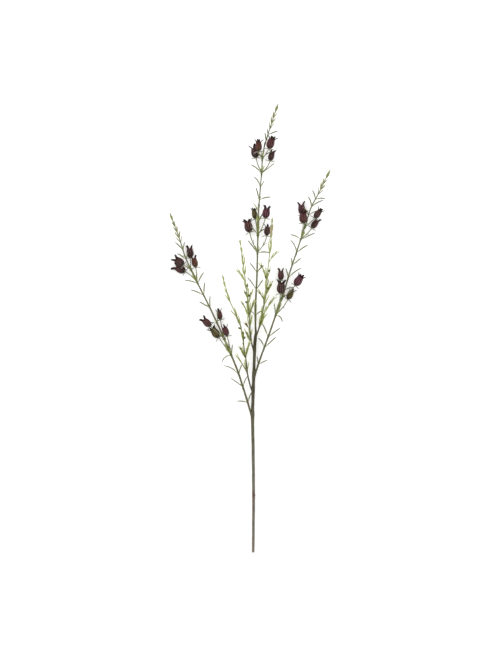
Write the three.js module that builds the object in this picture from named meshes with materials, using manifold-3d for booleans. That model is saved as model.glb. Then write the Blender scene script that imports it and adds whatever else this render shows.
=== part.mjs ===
// A cut heather stem lying on a surface. A woody stalk forks into three long flowering branches and
// three paler green sprigs, and each flowering branch carries two clusters of four urn-shaped blooms.
// Millimetres, +Z up from the surface, +Y from the cut end towards the tips, +X to the right.
import * as THREE from "three";
import { mergeVertices } from "three/addons/utils/BufferGeometryUtils.js";
import Module from "manifold-3d";

const wasm = await Module();
wasm.setup();

// Where the cut end lies in the part's frame, whose origin is the middle of the footprint
const cutEndPlace = [7.45, -492.93, 0];

// Clearances
const seatGap = 0.3; // between a piece and the piece that carries it
const floorGap = 1.2; // lowest that a leaf's midline hangs above the surface

// The stalk: its middle line, its radius, the heights where branches leave it, and the stub of a cut twig
const stalkRoute = [
  [0, 0, 2.8], [0.6, 63, 4.8], [0.9, 125, 6.6], [0, 228, 9.6], [-1.3, 294, 11.6],
  [-0.6, 338, 12.9], [0.9, 382, 14.1], [2.4, 426, 15.4], [3.6, 459, 16.3], [5.7, 485, 17.1],
];
const stalkRadius = { foot: 2.8, fork: 3.1, top: 2.4 };
const stalkForks = [305, 360, 392, 448, 470];
const collar = { swell: 0.6, reach: 10 };
const twigScar = { height: 125, turn: -25, length: 4.6, radius: 1.1, lean: 0.5, sides: 5 };
const stalkSteps = 24;
const stalkSides = 8;

// The sides of the other stems
const branchSides = 5;
const twigSides = 4;

// Leaves: a three-sided needle, flat above and keeled below, whose root runs to a point inside its stem
const leafShape = { width: 2.5, depth: 1, foldAt: 0.5, sink: 0.7, widestTwist: 120 };
const leafSides = 3;
const fullSizeLeaf = 17; // leaves shorter than this are slimmer too
const slimmestLeaf = 0.68; // as a share of the full width
const archedLeaf = 21; // leaves longer than this arch in two places
const leafBreadths = {
  // how far along each ring lies and how broad it is, as shares of the leaf's length and breadth
  long: [[0, 0], [0.36, 1], [0.82, 0.85], [1, 0]],
  short: [[0, 0], [0.55, 1], [1, 0]],
};

// How much leaves differ from each other: their length as a share, and angles in degrees
const leafVariety = { length: 0.36, leaving: 12, ending: 34, turn: 44 };
const standingLeaf = { gap: 26, lengthShare: 0.75, closer: 3, bend: 14, turn: 70 };
const spikeLeaf = { lengthShares: [0.62, 0.34], leaving: [26, 14], bend: 6, leavingSpread: 6, turn: 24 };
const twigLeaf = { lengthShare: 0.75, turnStep: 50, turn: 40 };
const endLeaf = { along: 0.96, lengthShare: 0.6, turn: 20, leaving: 14, ending: 16 };

// Blooms: an urn of four petals whose pointed tips spread like a star
const petalCount = 4;
const facetsPerPetal = 4;
const urnProfile = [
  // radius as a share of the girth and height as a share of the length, up the outside and into the mouth
  [0, 0], [0.34, 0.08], [0.49, 0.3], [0.47, 0.58], [0.36, 0.84], [0.37, 0.92], [0, 0.58],
];
const rimRow = 5;
const petalTip = { flare: 0.26, rise: 0.36, shoulderFlare: 0.05, shoulderRise: 0.13 };
const petalRelief = 0.045; // how far a petal's facets stand out, and its seams in, as a share of the radius
const urnLength = { base: 12, perGirth: 0.62 };

// Flower stalks, each flaring into a cup under the bloom's foot, with two bracts beside the cup
const pedicel = { radius: 0.9, cupRadius: 2.3, cupLength: 3, bow: 0.45 };
const pedicelRings = [0, 0.45];
const bract = { reach: 11, rise: 2.4, below: 2.4, width: 1.9, depthShare: 0.7, sway: 0.5, levelTurn: 25 };
const bractBreadths = [[0, 0], [0.3, 1], [0.5, 0.8], [0.7, 1], [1, 0]];

// Twigs and buds of the sprigs, and the swollen node from which the upper two blooms of a cluster grow
const twigRadius = 0.85;
const twigRings = [0, 0.35, 0.65];
const twigElbow = 0.35;
const bud = {
  radius: 2.2, length: 6.6, neck: 3.2, lean: 0.8, belly: 0.65, shoulder: 0.25, shoulderShare: 0.8,
};
const swollenNode = { radius: 3.1, below: 4.5, above: 6 };

const woodColor = 0x6b6550;
const branchColor = 0x6f7350;
const sprigColor = 0x93a05a;
const petalColors = { wine: 0x4b262a, dark: 0x432126, plum: 0x59282f, russet: 0x5a2a2a, olive: 0x57502a };

// Each flowering branch: its route, its radius at root and tip, the heights of its leaf pairs, the height
// where the close-set leaves of its spike start and how wide those open, its leaves' length, and the angles
// at which they leave and end.
const branches = [
  {
    name: "left_branch", seed: 11, color: branchColor, steps: 18, radius: [1.8, 0.75],
    route: [
      [-1.6, 296, 11.6], [-12.5, 333, 13], [-33, 398, 15.5], [-49, 438, 17.5], [-64, 473, 19],
      [-95, 540, 19], [-123.5, 597, 18], [-148, 649, 20], [-163, 695, 24], [-180, 741, 29],
    ],
    pairs: [333, 367, 396, 437, 507, 541, 569, 595, 648, 669],
    spikeFrom: 684, spikeStep: 6.2, spikeOpening: 1, leafLength: 26, leaving: 29, ending: 66,
  },
  {
    name: "centre_branch", seed: 23, color: branchColor, steps: 18, radius: [2, 0.75],
    route: [
      [5.72, 485.3, 17.1], [4.8, 518, 18.5], [5.7, 558, 20], [8, 602, 21.5], [9.5, 663, 23.5],
      [11.7, 751, 26], [15, 795, 26], [18.4, 837, 26], [21.5, 880, 28], [33.7, 925, 31],
      [42.5, 952, 33], [52.4, 981, 36],
    ],
    pairs: [524, 582, 619, 662, 702, 731, 778, 806, 836, 870, 908, 921],
    spikeFrom: 934, spikeStep: 6.2, spikeOpening: 1, leafLength: 26, leaving: 29, ending: 66,
  },
  {
    name: "right_branch", seed: 37, color: branchColor, steps: 18, radius: [1.8, 0.75],
    route: [
      [0.9, 381, 14.1], [6.8, 402, 15], [16, 430, 16], [32.6, 475, 18], [50.2, 526, 19],
      [63.4, 562, 20], [83, 626, 21], [97, 668, 21], [114, 719, 21], [127, 760, 23],
      [143.7, 792, 26], [166.3, 838, 30],
    ],
    pairs: [417, 454, 477, 525, 579, 608, 635, 663, 691, 744, 763, 779],
    spikeFrom: 790, spikeStep: 6.2, spikeOpening: 1, leafLength: 26, leaving: 29, ending: 66,
  },
];

// Each sprig: as a branch, with twigs, each with the height it forks off at, its reach from there and the number
// of its leaf pairs, and buds, each with its height and its turn about the sprig.
const sprigs = [
  {
    name: "outer_sprig", seed: 41, color: sprigColor, steps: 14, radius: [1.35, 0.6],
    route: [
      [-0.5, 352, 13.4], [-6.4, 369, 16.5], [-11.4, 389, 20], [-15.2, 421, 25], [-19.6, 448, 29],
      [-24, 485, 33], [-31, 510, 36], [-50, 552, 39], [-58, 573, 40], [-66, 606, 42],
    ],
    pairs: [404, 434, 470, 503, 521, 554],
    spikeFrom: 572, spikeStep: 8, spikeOpening: 0.45, leafLength: 22, leaving: 15, ending: 4,
    twigs: [
      { from: 389, reach: [-22, 42, 8], pairs: 2, bud: false },
      { from: 421, reach: [-14, 33, 5], pairs: 1, bud: true },
      { from: 424, reach: [7, 37, 9], pairs: 2, bud: false },
    ],
    buds: [[481, 60], [492, 170], [470, 20]],
  },
  {
    name: "inner_sprig", seed: 53, color: sprigColor, steps: 14, radius: [1.35, 0.6],
    route: [
      [1.9, 444, 15.9], [-3.4, 463, 22], [-6.6, 487, 30], [-8, 514, 37], [-10.8, 542, 42],
      [-13, 567, 46], [-16, 591, 49], [-20, 622, 53], [-25, 663, 57], [-29, 686, 60],
    ],
    pairs: [478, 500, 530, 562, 612, 632],
    spikeFrom: 646, spikeStep: 8, spikeOpening: 0.45, leafLength: 22, leaving: 15, ending: 4,
    twigs: [
      { from: 458, reach: [-14, 30, 3], pairs: 3, bud: true },
      { from: 487, reach: [-12, 20, 6], pairs: 1, bud: true },
      { from: 512, reach: [-17, 40, 2], pairs: 2, bud: true },
      { from: 514, reach: [9, 37, 6], pairs: 0, bud: false },
      { from: 541, reach: [8, 34, 4], pairs: 1, bud: true },
      { from: 590, reach: [-15, 27, 4], pairs: 1, bud: false },
    ],
    buds: [[562, 20], [569, 170], [584, 40], [548, 200]],
  },
  {
    name: "right_sprig", seed: 67, color: sprigColor, steps: 14, radius: [1.4, 0.6],
    route: [
      [5.2, 474, 16.8], [11.5, 492, 21], [18.3, 514, 27], [22.2, 538, 33], [28.6, 575, 41],
      [32, 624, 48], [34.5, 646, 50], [37, 672, 52], [39.2, 699, 54], [41.4, 732, 57],
    ],
    pairs: [499, 510, 521, 548, 576, 606, 660],
    spikeFrom: 678, spikeStep: 8, spikeOpening: 0.45, leafLength: 22, leaving: 15, ending: 4,
    twigs: [
      { from: 514, reach: [25, 45, -2], pairs: 2, bud: false },
      { from: 549, reach: [-12, 27, 5], pairs: 1, bud: true },
      { from: 562, reach: [14, 31, -3], pairs: 1, bud: true },
      { from: 590, reach: [-13, 44, 7], pairs: 2, bud: true },
      { from: 634, reach: [15, 24, 3], pairs: 1, bud: false },
    ],
    buds: [[579, 15], [603, 165], [617, 20]],
  },
];

// The height at which a bloom rests on its widest part, lying level on a seam between petals.
const widestRow = 2;
const facetAngle = 2 * Math.PI / (petalCount * facetsPerPetal);
const widestShare = urnProfile[widestRow][0] * (1 + petalRelief) * Math.cos(facetAngle);
const restingHeight = (girth) => widestShare * girth;

// The blooms, in clusters of four: two leave the lower of a cluster's two nodes and two the upper. Each has
// the middle of its foot, the way it points, its girth, and its turn about its own axis in degrees.
const { wine, dark, plum, russet, olive } = petalColors;
const clusters = [
  {
    name: "left_lower_bloom", on: "left_branch", nodes: [438, 473],
    blooms: [
      { foot: [-76.8, 476.3, 11.5], aim: [-0.57, 0.82, 0], girth: 16.4, turn: 20, color: olive },
      { foot: [-57.6, 479.6, 25], aim: [-0.26, 0.95, 0.16], girth: 12.6, turn: 50, color: wine },
      { foot: [-95, 501, 25], aim: [-0.72, 0.7, 0.2], girth: 15, turn: 0, color: wine },
      { foot: [-72.6, 515.9, 13], aim: [-0.18, 0.98, 0], girth: 11.6, turn: 35, color: wine },
    ],
  },
  {
    name: "left_upper_bloom", on: "left_branch", nodes: [597, 625],
    blooms: [
      { foot: [-151.6, 621.5, restingHeight(18)], aim: [-0.88, 0.47, 0], girth: 18, turn: 0, color: dark },
      { foot: [-126.7, 630.9, 25], aim: [-0.2, 0.98, 0.1], girth: 13, turn: 10, color: russet },
      { foot: [-154, 636.2, 27], aim: [-0.8, 0.57, 0.22], girth: 16, turn: 10, color: dark },
      { foot: [-138.6, 652.3, 9.8], aim: [-0.08, 0.99, 0], girth: 15.4, turn: 0, color: dark },
    ],
  },
  {
    name: "centre_lower_bloom", on: "centre_branch", nodes: [663, 701],
    blooms: [
      { foot: [-8.1, 708.4, 15], aim: [-0.2, 0.98, -0.05], girth: 18.2, turn: 15, color: wine },
      { foot: [29.9, 700.7, 20], aim: [0.1, 0.99, 0.02], girth: 12.8, turn: 45, color: dark },
      { foot: [4.6, 738.1, 12], aim: [-0.15, 0.98, -0.05], girth: 12.4, turn: 20, color: olive },
      { foot: [26.6, 738.1, 34], aim: [0.17, 0.98, 0.12], girth: 16.6, turn: 10, color: plum },
    ],
  },
  {
    name: "centre_upper_bloom", on: "centre_branch", nodes: [837, 869],
    blooms: [
      { foot: [6.2, 872.3, 17], aim: [-0.16, 0.98, -0.05], girth: 17.6, turn: 45, color: dark },
      { foot: [37.6, 865.7, 19], aim: [0.25, 0.96, -0.05], girth: 12.8, turn: 20, color: dark },
      { foot: [11.7, 884.4, 36], aim: [0, 0.98, 0.18], girth: 14, turn: 30, color: russet },
      { foot: [34.5, 890.6, 36], aim: [0.33, 0.93, 0.12], girth: 17, turn: 30, color: wine },
    ],
  },
  {
    name: "right_lower_bloom", on: "right_branch", nodes: [526, 562],
    blooms: [
      { foot: [60.1, 573.1, 32], aim: [0.08, 0.98, 0.14], girth: 17.6, turn: 10, color: dark },
      { foot: [77.2, 560.6, 11], aim: [0.42, 0.91, 0], girth: 13, turn: 30, color: olive },
      { foot: [61, 603, 14], aim: [0, 0.99, -0.05], girth: 13, turn: 5, color: wine },
      { foot: [93.1, 590.7, 27], aim: [0.55, 0.83, 0.1], girth: 16.6, turn: 25, color: plum },
    ],
  },
  {
    name: "right_upper_bloom", on: "right_branch", nodes: [692, 719],
    blooms: [
      { foot: [109.6, 727.1, 34], aim: [0, 0.98, 0.16], girth: 16.6, turn: 10, color: wine },
      {
        foot: [130.5, 718.3, restingHeight(13.4)], aim: [0.57, 0.82, 0], girth: 13.4, turn: 0, color: dark,
      },
      { foot: [108.7, 747.5, 11.2], aim: [-0.13, 0.98, -0.02], girth: 15.6, turn: 0, color: plum },
      { foot: [135.5, 738.8, 30], aim: [0.6, 0.79, 0.12], girth: 12.8, turn: 30, color: dark },
    ],
  },
];

const up = new THREE.Vector3(0, 0, 1);
const urnAxis = new THREE.Vector3(0, 1, 0);
const degrees = Math.PI / 180;

// A repeatable run of numbers from 0 to 1.
function dice(seed) {
  let state = seed;
  return () => {
    state = (state * 48271) % 2147483647;
    return state / 2147483647;
  };
}

const spread = (roll, width) => (roll() - 0.5) * width;

function smoothRoute(points) {
  return new THREE.CatmullRomCurve3(points.map((p) => new THREE.Vector3(...p)), false, "centripetal");
}

// How far along a route, from 0 to 1, it reaches a height above the cut end.
function alongAt(route, height) {
  const halvings = 24;
  let low = 0;
  let high = 1;
  for (let i = 0; i < halvings; i++) {
    const middle = (low + high) / 2;
    if (route.getPointAt(middle).y < height) low = middle;
    else high = middle;
  }
  return low;
}

// A point of a stem's middle line, the line's direction, the directions to its right and away from the
// surface, and the stem's radius there.
function stationOn(route, along, radius) {
  const point = route.getPointAt(along);
  const forward = route.getTangentAt(along);
  const right = forward.clone().cross(up).normalize();
  return { point, forward, right, above: right.clone().cross(forward), radius };
}

const radiusOf = (spec, along) => THREE.MathUtils.lerp(spec.radius[0], spec.radius[1], along);

// The station where a stem reaches a height above the cut end.
function stationAt(route, spec, height) {
  const along = alongAt(route, height);
  return stationOn(route, along, radiusOf(spec, along));
}

// The direction that leaves a station sideways. Turn 0 is to its right and 90 is away from the surface.
function outwardAt({ right, above }, turn) {
  const angle = turn * degrees;
  return right.clone().multiplyScalar(Math.cos(angle)).addScaledVector(above, Math.sin(angle));
}

// Rings for a sweep, evenly spaced, each with how far along it lies and its radius.
function evenRings(steps, radiusAt) {
  return Array.from({ length: steps + 1 }, (_, i) => [i / steps, radiusAt(i / steps)]);
}

const scaledRings = (rings, radius) => rings.map(([along, share]) => [along, share * radius]);

// A closed solid: a cylinder whose rings follow a route. A ring of radius 0 is a point. Across is the
// direction of the rings' width, depthShare is their depth over their width, and turn is their turn in
// radians.
function sweep(route, rings, { sides, across = null, depthShare = 1, turn = 0 }) {
  const steps = rings.length - 1;
  const geometry = new THREE.CylinderGeometry(1, 1, 1, sides, steps, false, turn);
  const place = geometry.getAttribute("position");
  for (let i = 0; i < place.count; i++) {
    const [along, radius] = rings[Math.round((place.getY(i) + 0.5) * steps)];
    const forward = route.getTangentAt(along);
    const wide = across ? across.clone() : forward.clone().cross(up);
    wide.addScaledVector(forward, -wide.dot(forward)).normalize();
    const deep = wide.clone().cross(forward);
    const point = route.getPointAt(along)
      .addScaledVector(wide, place.getX(i) * radius)
      .addScaledVector(deep, place.getZ(i) * radius * depthShare);
    place.setXYZ(i, point.x, point.y, point.z);
  }
  return solidOf(geometry);
}

// A closed geometry as a solid that can be joined and cut.
function solidOf(geometry) {
  const bare = geometry.clone();
  bare.deleteAttribute("normal");
  bare.deleteAttribute("uv");
  const merged = mergeVertices(bare, 1e-4);
  const corners = merged.index.array;
  const kept = [];
  for (let i = 0; i < corners.length; i += 3) {
    const [a, b, c] = corners.slice(i, i + 3);
    if (a !== b && b !== c && c !== a) kept.push(a, b, c);
  }
  return new wasm.Manifold(new wasm.Mesh({
    numProp: 3,
    vertProperties: merged.attributes.position.array,
    triVerts: new Uint32Array(kept),
  }));
}

function geometryOf(solid) {
  const mesh = solid.getMesh();
  const geometry = new THREE.BufferGeometry();
  geometry.setAttribute("position", new THREE.BufferAttribute(mesh.vertProperties, 3));
  geometry.setIndex(new THREE.BufferAttribute(mesh.triVerts, 1));
  geometry.computeVertexNormals();
  return geometry;
}

const joined = (solids) => solids.reduce((whole, next) => whole.add(next));

// The stalk's radius: it thickens to the first fork, thins above it, and swells a little at each fork.
function stalkRadiusAt(height) {
  const { mapLinear } = THREE.MathUtils;
  const firstFork = stalkForks[0];
  const top = stalkRoute.at(-1)[1];
  const taper = height < firstFork
    ? mapLinear(height, 0, firstFork, stalkRadius.foot, stalkRadius.fork)
    : mapLinear(height, firstFork, top, stalkRadius.fork, stalkRadius.top);
  const swellingOf = (fork) => collar.swell * Math.exp(-(((height - fork) / collar.reach) ** 2));
  return stalkForks.reduce((radius, fork) => radius + swellingOf(fork), taper);
}

// The stalk, or with extra the space that other stems keep clear of.
function stalkSolid(extra = 0) {
  const route = smoothRoute(stalkRoute);
  const radiusAt = (along) => stalkRadiusAt(route.getPointAt(along).y) + extra;
  return sweep(route, evenRings(stalkSteps, radiusAt), { sides: stalkSides });
}

// The short stub of a twig that was cut from the stalk.
function twigScarSolid() {
  const route = smoothRoute(stalkRoute);
  const station = stationOn(route, alongAt(route, twigScar.height), stalkRadius.foot);
  const { point, forward } = station;
  const heading = outwardAt(station, twigScar.turn).addScaledVector(forward, twigScar.lean).normalize();
  const line = new THREE.LineCurve3(point, point.clone().addScaledVector(heading, twigScar.length));
  return sweep(line, evenRings(1, () => twigScar.radius), { sides: twigScar.sides, across: forward });
}

// The direction of a leaf's width, level with the surface. It is twisted there from its direction at the stem,
// and turned to the other side if it would have to twist too far.
function levelAcross(heading, atStem) {
  const level = up.clone().cross(heading).normalize();
  return level.angleTo(atStem) > leafShape.widestTwist * degrees ? level.negate() : level;
}

// A needle leaf that leaves its stem at one angle and bends outward to another. A short one is slimmer too.
function leafSolid(station, turn, length, leaving, ending) {
  const { point, forward, radius } = station;
  const outward = outwardAt(station, turn);
  const heading = (angle) =>
    forward.clone().multiplyScalar(Math.cos(angle)).addScaledVector(outward, Math.sin(angle));
  const first = heading(leaving * degrees);
  const last = heading(ending * degrees);
  const sunk = leafShape.sink * radius / Math.sin(leaving * degrees);
  const root = point.clone().addScaledVector(first, -sunk);
  const fold = point.clone().addScaledVector(first, length * leafShape.foldAt);
  const tip = fold.clone().addScaledVector(last, length * (1 - leafShape.foldAt));
  fold.z = Math.max(fold.z, floorGap);
  tip.z = Math.max(tip.z, floorGap);
  const size = THREE.MathUtils.clamp(length / fullSizeLeaf, slimmestLeaf, 1);
  const broad = size * leafShape.width / Math.sqrt(3);
  const depthShare = size * leafShape.depth / 1.5 / broad;
  const rings = scaledRings(length > archedLeaf ? leafBreadths.long : leafBreadths.short, broad);
  const line = new THREE.QuadraticBezierCurve3(root, fold, tip);
  const across = levelAcross(last, forward.clone().cross(outward));
  return sweep(line, rings, { sides: leafSides, across, depthShare });
}

// The leaf pairs along a stem: those listed lie beside it, and shorter ones between them stand up and down.
function pairedLeaves(route, spec, roll) {
  const found = [];
  spec.pairs.forEach((height, i) => {
    const station = stationAt(route, spec, height);
    for (const side of [0, 180]) {
      const length = spec.leafLength * (1 + spread(roll, leafVariety.length));
      const leaving = spec.leaving + spread(roll, leafVariety.leaving);
      const ending = spec.ending + spread(roll, leafVariety.ending);
      found.push(leafSolid(station, side + spread(roll, leafVariety.turn), length, leaving, ending));
    }
    const next = spec.pairs[i + 1];
    if (next - height > standingLeaf.gap) {
      const between = stationAt(route, spec, (height + next) / 2);
      for (const side of [90, 270]) {
        const length = standingLeaf.lengthShare * spec.leafLength * (1 + spread(roll, leafVariety.length));
        const leaving = spec.leaving - standingLeaf.closer + spread(roll, leafVariety.leaving);
        const leafTurn = side + spread(roll, standingLeaf.turn);
        found.push(leafSolid(between, leafTurn, length, leaving, leaving + standingLeaf.bend));
      }
    }
  });
  return found;
}

// The close-set leaves that clothe a stem's last stretch, shorter and closer to it towards the tip.
function spikeLeaves(route, spec, roll) {
  const { lerp } = THREE.MathUtils;
  const top = route.getPointAt(1).y;
  const found = [];
  let turn = 0;
  for (let height = spec.spikeFrom; height < top - twigRadius; height += spec.spikeStep) {
    const share = (height - spec.spikeFrom) / (top - spec.spikeFrom);
    const length = spec.leafLength * lerp(...spikeLeaf.lengthShares, share);
    const station = stationAt(route, spec, height);
    for (const side of [0, 180]) {
      const opening = lerp(...spikeLeaf.leaving, share) + spread(roll, spikeLeaf.leavingSpread);
      const leaving = spec.spikeOpening * opening;
      const leafTurn = turn + side + spread(roll, spikeLeaf.turn);
      found.push(leafSolid(station, leafTurn, length, leaving, leaving + spikeLeaf.bend));
    }
    turn += 90;
  }
  return found;
}

function stemSolid(route, spec) {
  return sweep(route, evenRings(spec.steps, (along) => radiusOf(spec, along)), { sides: branchSides });
}

// The swelling of a branch at a node, pointed below and above inside it.
function swollenNodeSolid(route, spec, node) {
  const { point, forward, above } = stationAt(route, spec, node);
  const below = point.clone().addScaledVector(forward, -swollenNode.below);
  const end = point.clone().addScaledVector(forward, swollenNode.above);
  const widest = swollenNode.below / (swollenNode.below + swollenNode.above);
  const rings = [[0, 0], [widest, swollenNode.radius], [1, 0]];
  return sweep(new THREE.LineCurve3(below, end), rings, { sides: branchSides, across: above });
}

// The last rings of a stalk of a given length that swells into a bud at its end.
function budRings(length) {
  const shareFromEnd = (distance) => 1 - distance / length;
  return [
    [shareFromEnd(bud.length), twigRadius],
    [shareFromEnd(bud.belly * bud.length), bud.radius],
    [shareFromEnd(bud.shoulder * bud.length), bud.shoulderShare * bud.radius],
    [1, 0],
  ];
}

// A small closed bud on a neck of its own.
function budSolid(station, turn) {
  const heading = station.forward.clone().addScaledVector(outwardAt(station, turn), bud.lean).normalize();
  const length = bud.neck + bud.length;
  const route = new THREE.LineCurve3(station.point, station.point.clone().addScaledVector(heading, length));
  return sweep(route, [[0, twigRadius], ...budRings(length)], { sides: twigSides, across: station.above });
}

// A twig that forks off a sprig, with its own leaf pairs and either a bud or one last leaf at its end.
function twigSolids(route, spec, twig, roll) {
  const { point, forward } = stationAt(route, spec, twig.from);
  const end = point.clone().add(new THREE.Vector3(...twig.reach));
  const elbow = point.clone().addScaledVector(forward, twigElbow * end.distanceTo(point));
  const twigRoute = new THREE.QuadraticBezierCurve3(point, elbow, end);
  const slim = twigRings.map((along) => [along, twigRadius]);
  const ending = twig.bud ? budRings(twigRoute.getLength()) : [[1, twigRadius]];
  const found = [sweep(twigRoute, [...slim, ...ending], { sides: twigSides })];
  const length = twigLeaf.lengthShare * spec.leafLength;
  for (let i = 0; i < twig.pairs; i++) {
    const station = stationOn(twigRoute, (i + 1) / (twig.pairs + 1), twigRadius);
    for (const side of [0, 180]) {
      const leaving = spec.leaving + spread(roll, leafVariety.leaving);
      const leafTurn = side + twigLeaf.turnStep * i + spread(roll, twigLeaf.turn);
      found.push(leafSolid(station, leafTurn, length, leaving, spec.ending));
    }
  }
  if (!twig.bud) {
    const station = stationOn(twigRoute, endLeaf.along, twigRadius);
    const lastLength = endLeaf.lengthShare * spec.leafLength;
    found.push(leafSolid(station, endLeaf.turn, lastLength, endLeaf.leaving, endLeaf.ending));
  }
  return found;
}

// How a bloom stands: its foot, its axis, and the rotation that carries the urn's own axis there.
function poseOf(bloom) {
  const axis = new THREE.Vector3(...bloom.aim).normalize();
  const turned = new THREE.Quaternion().setFromAxisAngle(urnAxis, bloom.turn * degrees);
  const tilted = new THREE.Quaternion().setFromUnitVectors(urnAxis, axis);
  return { foot: new THREE.Vector3(...bloom.foot), axis, quaternion: tilted.multiply(turned) };
}

// The urn: a turned shape whose rim is drawn out into petal tips and whose sides swell along each petal.
function urnGeometry(girth) {
  const length = urnLength.base + urnLength.perGirth * girth;
  const profile = urnProfile.map(([radius, height]) => new THREE.Vector2(radius, height));
  const geometry = new THREE.LatheGeometry(profile, petalCount * facetsPerPetal);
  const place = geometry.getAttribute("position");
  for (let i = 0; i < place.count; i++) {
    const row = i % profile.length;
    const facet = Math.floor(i / profile.length) % facetsPerPetal;
    const seam = facet === 0;
    const middle = facet === facetsPerPetal / 2;
    const radius = urnProfile[row][0];
    let flare = row < rimRow ? radius * petalRelief * (seam ? -1 : 1) : 0;
    let rise = 0;
    if (row === rimRow && middle) [flare, rise] = [petalTip.flare, petalTip.rise];
    if (row === rimRow && !middle && !seam) [flare, rise] = [petalTip.shoulderFlare, petalTip.shoulderRise];
    const grow = radius ? girth * (radius + flare) / radius : girth;
    place.setXYZ(i, place.getX(i) * grow, (place.getY(i) + rise) * length, place.getZ(i) * grow);
  }
  return geometry;
}

function bloomMesh(bloom, name) {
  const { foot, quaternion } = poseOf(bloom);
  const material = new THREE.MeshStandardMaterial({ color: bloom.color, roughness: 0.7, metalness: 0 });
  const mesh = new THREE.Mesh(urnGeometry(bloom.girth), material);
  mesh.name = name;
  mesh.position.copy(foot);
  mesh.quaternion.copy(quaternion);
  return mesh;
}

// The flower stalk that carries a bloom, flaring into a cup just under the urn's foot, and the pair of
// bracts that crosses the cup.
function flowerStalkSolids(route, node, bloom) {
  const { foot, axis } = poseOf(bloom);
  const root = route.getPointAt(alongAt(route, node));
  const cupTop = foot.clone().addScaledVector(axis, -seatGap);
  const elbow = cupTop.clone().addScaledVector(axis, -pedicel.bow * cupTop.distanceTo(root));
  const stalkLine = new THREE.QuadraticBezierCurve3(root, elbow, cupTop);
  const cupShare = 1 - pedicel.cupLength / stalkLine.getLength();
  const slim = [...pedicelRings, cupShare].map((along) => [along, pedicel.radius]);
  const stalkRings = [...slim, [1, pedicel.cupRadius]];
  const stalk = sweep(stalkLine, stalkRings, { sides: twigSides, turn: Math.PI / twigSides });
  const station = stationOn(stalkLine, 1, pedicel.cupRadius);
  const sideways = outwardAt(station, bract.sway * (bloom.turn - bract.levelTurn));
  const middle = cupTop.clone().addScaledVector(axis, -bract.below);
  const tips = [-1, 1].map((side) =>
    middle.clone().addScaledVector(sideways, side * bract.reach).addScaledVector(axis, bract.rise));
  const rings = scaledRings(bractBreadths, bract.width / Math.sqrt(3));
  const bractLine = new THREE.QuadraticBezierCurve3(tips[0], middle, tips[1]);
  const across = axis.clone().cross(sideways);
  return [stalk, sweep(bractLine, rings, { sides: leafSides, across, depthShare: bract.depthShare })];
}

// A branch or sprig with all that grows from it, cut back clear of the stalk that it leaves.
function leafyStem(spec, stalkSpace) {
  const route = smoothRoute(spec.route);
  const roll = dice(spec.seed);
  const solids = [stemSolid(route, spec)];
  solids.push(...pairedLeaves(route, spec, roll), ...spikeLeaves(route, spec, roll));
  for (const twig of spec.twigs ?? []) solids.push(...twigSolids(route, spec, twig, roll));
  for (const [height, turn] of spec.buds ?? []) solids.push(budSolid(stationAt(route, spec, height), turn));
  for (const { nodes, blooms } of clusters.filter((cluster) => cluster.on === spec.name)) {
    const [lower, upper] = nodes;
    blooms.forEach((bloom, i) => solids.push(...flowerStalkSolids(route, i < 2 ? lower : upper, bloom)));
    solids.push(swollenNodeSolid(route, spec, upper));
  }
  return joined(solids).subtract(stalkSpace);
}

function namedMesh(name, solid, color) {
  const material = new THREE.MeshStandardMaterial({ color, roughness: 0.65, metalness: 0 });
  const mesh = new THREE.Mesh(geometryOf(solid), material);
  mesh.name = name;
  return mesh;
}

const heather = new THREE.Group();
heather.position.set(...cutEndPlace);
heather.add(namedMesh("main_stalk", stalkSolid().add(twigScarSolid()), woodColor));
const stalkSpace = stalkSolid(seatGap);
for (const spec of [...branches, ...sprigs]) {
  heather.add(namedMesh(spec.name, leafyStem(spec, stalkSpace), spec.color));
}
for (const cluster of clusters) {
  cluster.blooms.forEach((bloom, i) => heather.add(bloomMesh(bloom, cluster.name + "_" + (i + 1))));
}

export default heather;
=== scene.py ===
import math

import bmesh
import bpy
import numpy as np
from mathutils import Matrix, Vector


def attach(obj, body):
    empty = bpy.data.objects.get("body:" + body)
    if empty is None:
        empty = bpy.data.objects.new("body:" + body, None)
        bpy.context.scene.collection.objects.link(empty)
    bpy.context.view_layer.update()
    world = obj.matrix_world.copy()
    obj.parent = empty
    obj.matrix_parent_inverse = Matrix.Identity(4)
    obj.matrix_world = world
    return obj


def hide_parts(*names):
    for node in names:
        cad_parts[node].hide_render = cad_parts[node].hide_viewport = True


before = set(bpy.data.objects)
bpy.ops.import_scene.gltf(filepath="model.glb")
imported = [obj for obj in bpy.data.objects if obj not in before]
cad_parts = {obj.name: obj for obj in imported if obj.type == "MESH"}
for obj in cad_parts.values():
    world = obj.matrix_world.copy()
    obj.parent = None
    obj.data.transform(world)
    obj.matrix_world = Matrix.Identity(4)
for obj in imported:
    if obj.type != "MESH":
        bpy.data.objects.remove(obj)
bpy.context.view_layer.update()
print("frame loaded")

mm = 0.001
softEdge = math.radians(50)
up = np.array([0, 0, 1.0])
cutEnd = np.array([7.45, -492.93, 0])  # where the stem was cut, in millimetres from its footprint's middle
stalkHeight = 485  # from the cut end to the highest fork


# A point given in millimetres from the cut end, in the frame's metres
def placed(point):
    return (np.array(point, float) + cutEnd) * mm


def unit(arrow):
    return arrow / np.linalg.norm(arrow, axis=-1, keepdims=True)


# A repeatable run of numbers from 0 to 1, and a number spread evenly about nought
def dice(seed):
    state = seed

    def roll():
        nonlocal state
        state = state * 48271 % 2147483647
        return state / 2147483647

    return roll


def spread(roll, width):
    return (roll() - 0.5) * width


def mixed(ends, share):
    return ends[0] + (ends[1] - ends[0]) * share


def hump(distance, reach):
    return np.exp(-((distance / reach) ** 2))


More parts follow.
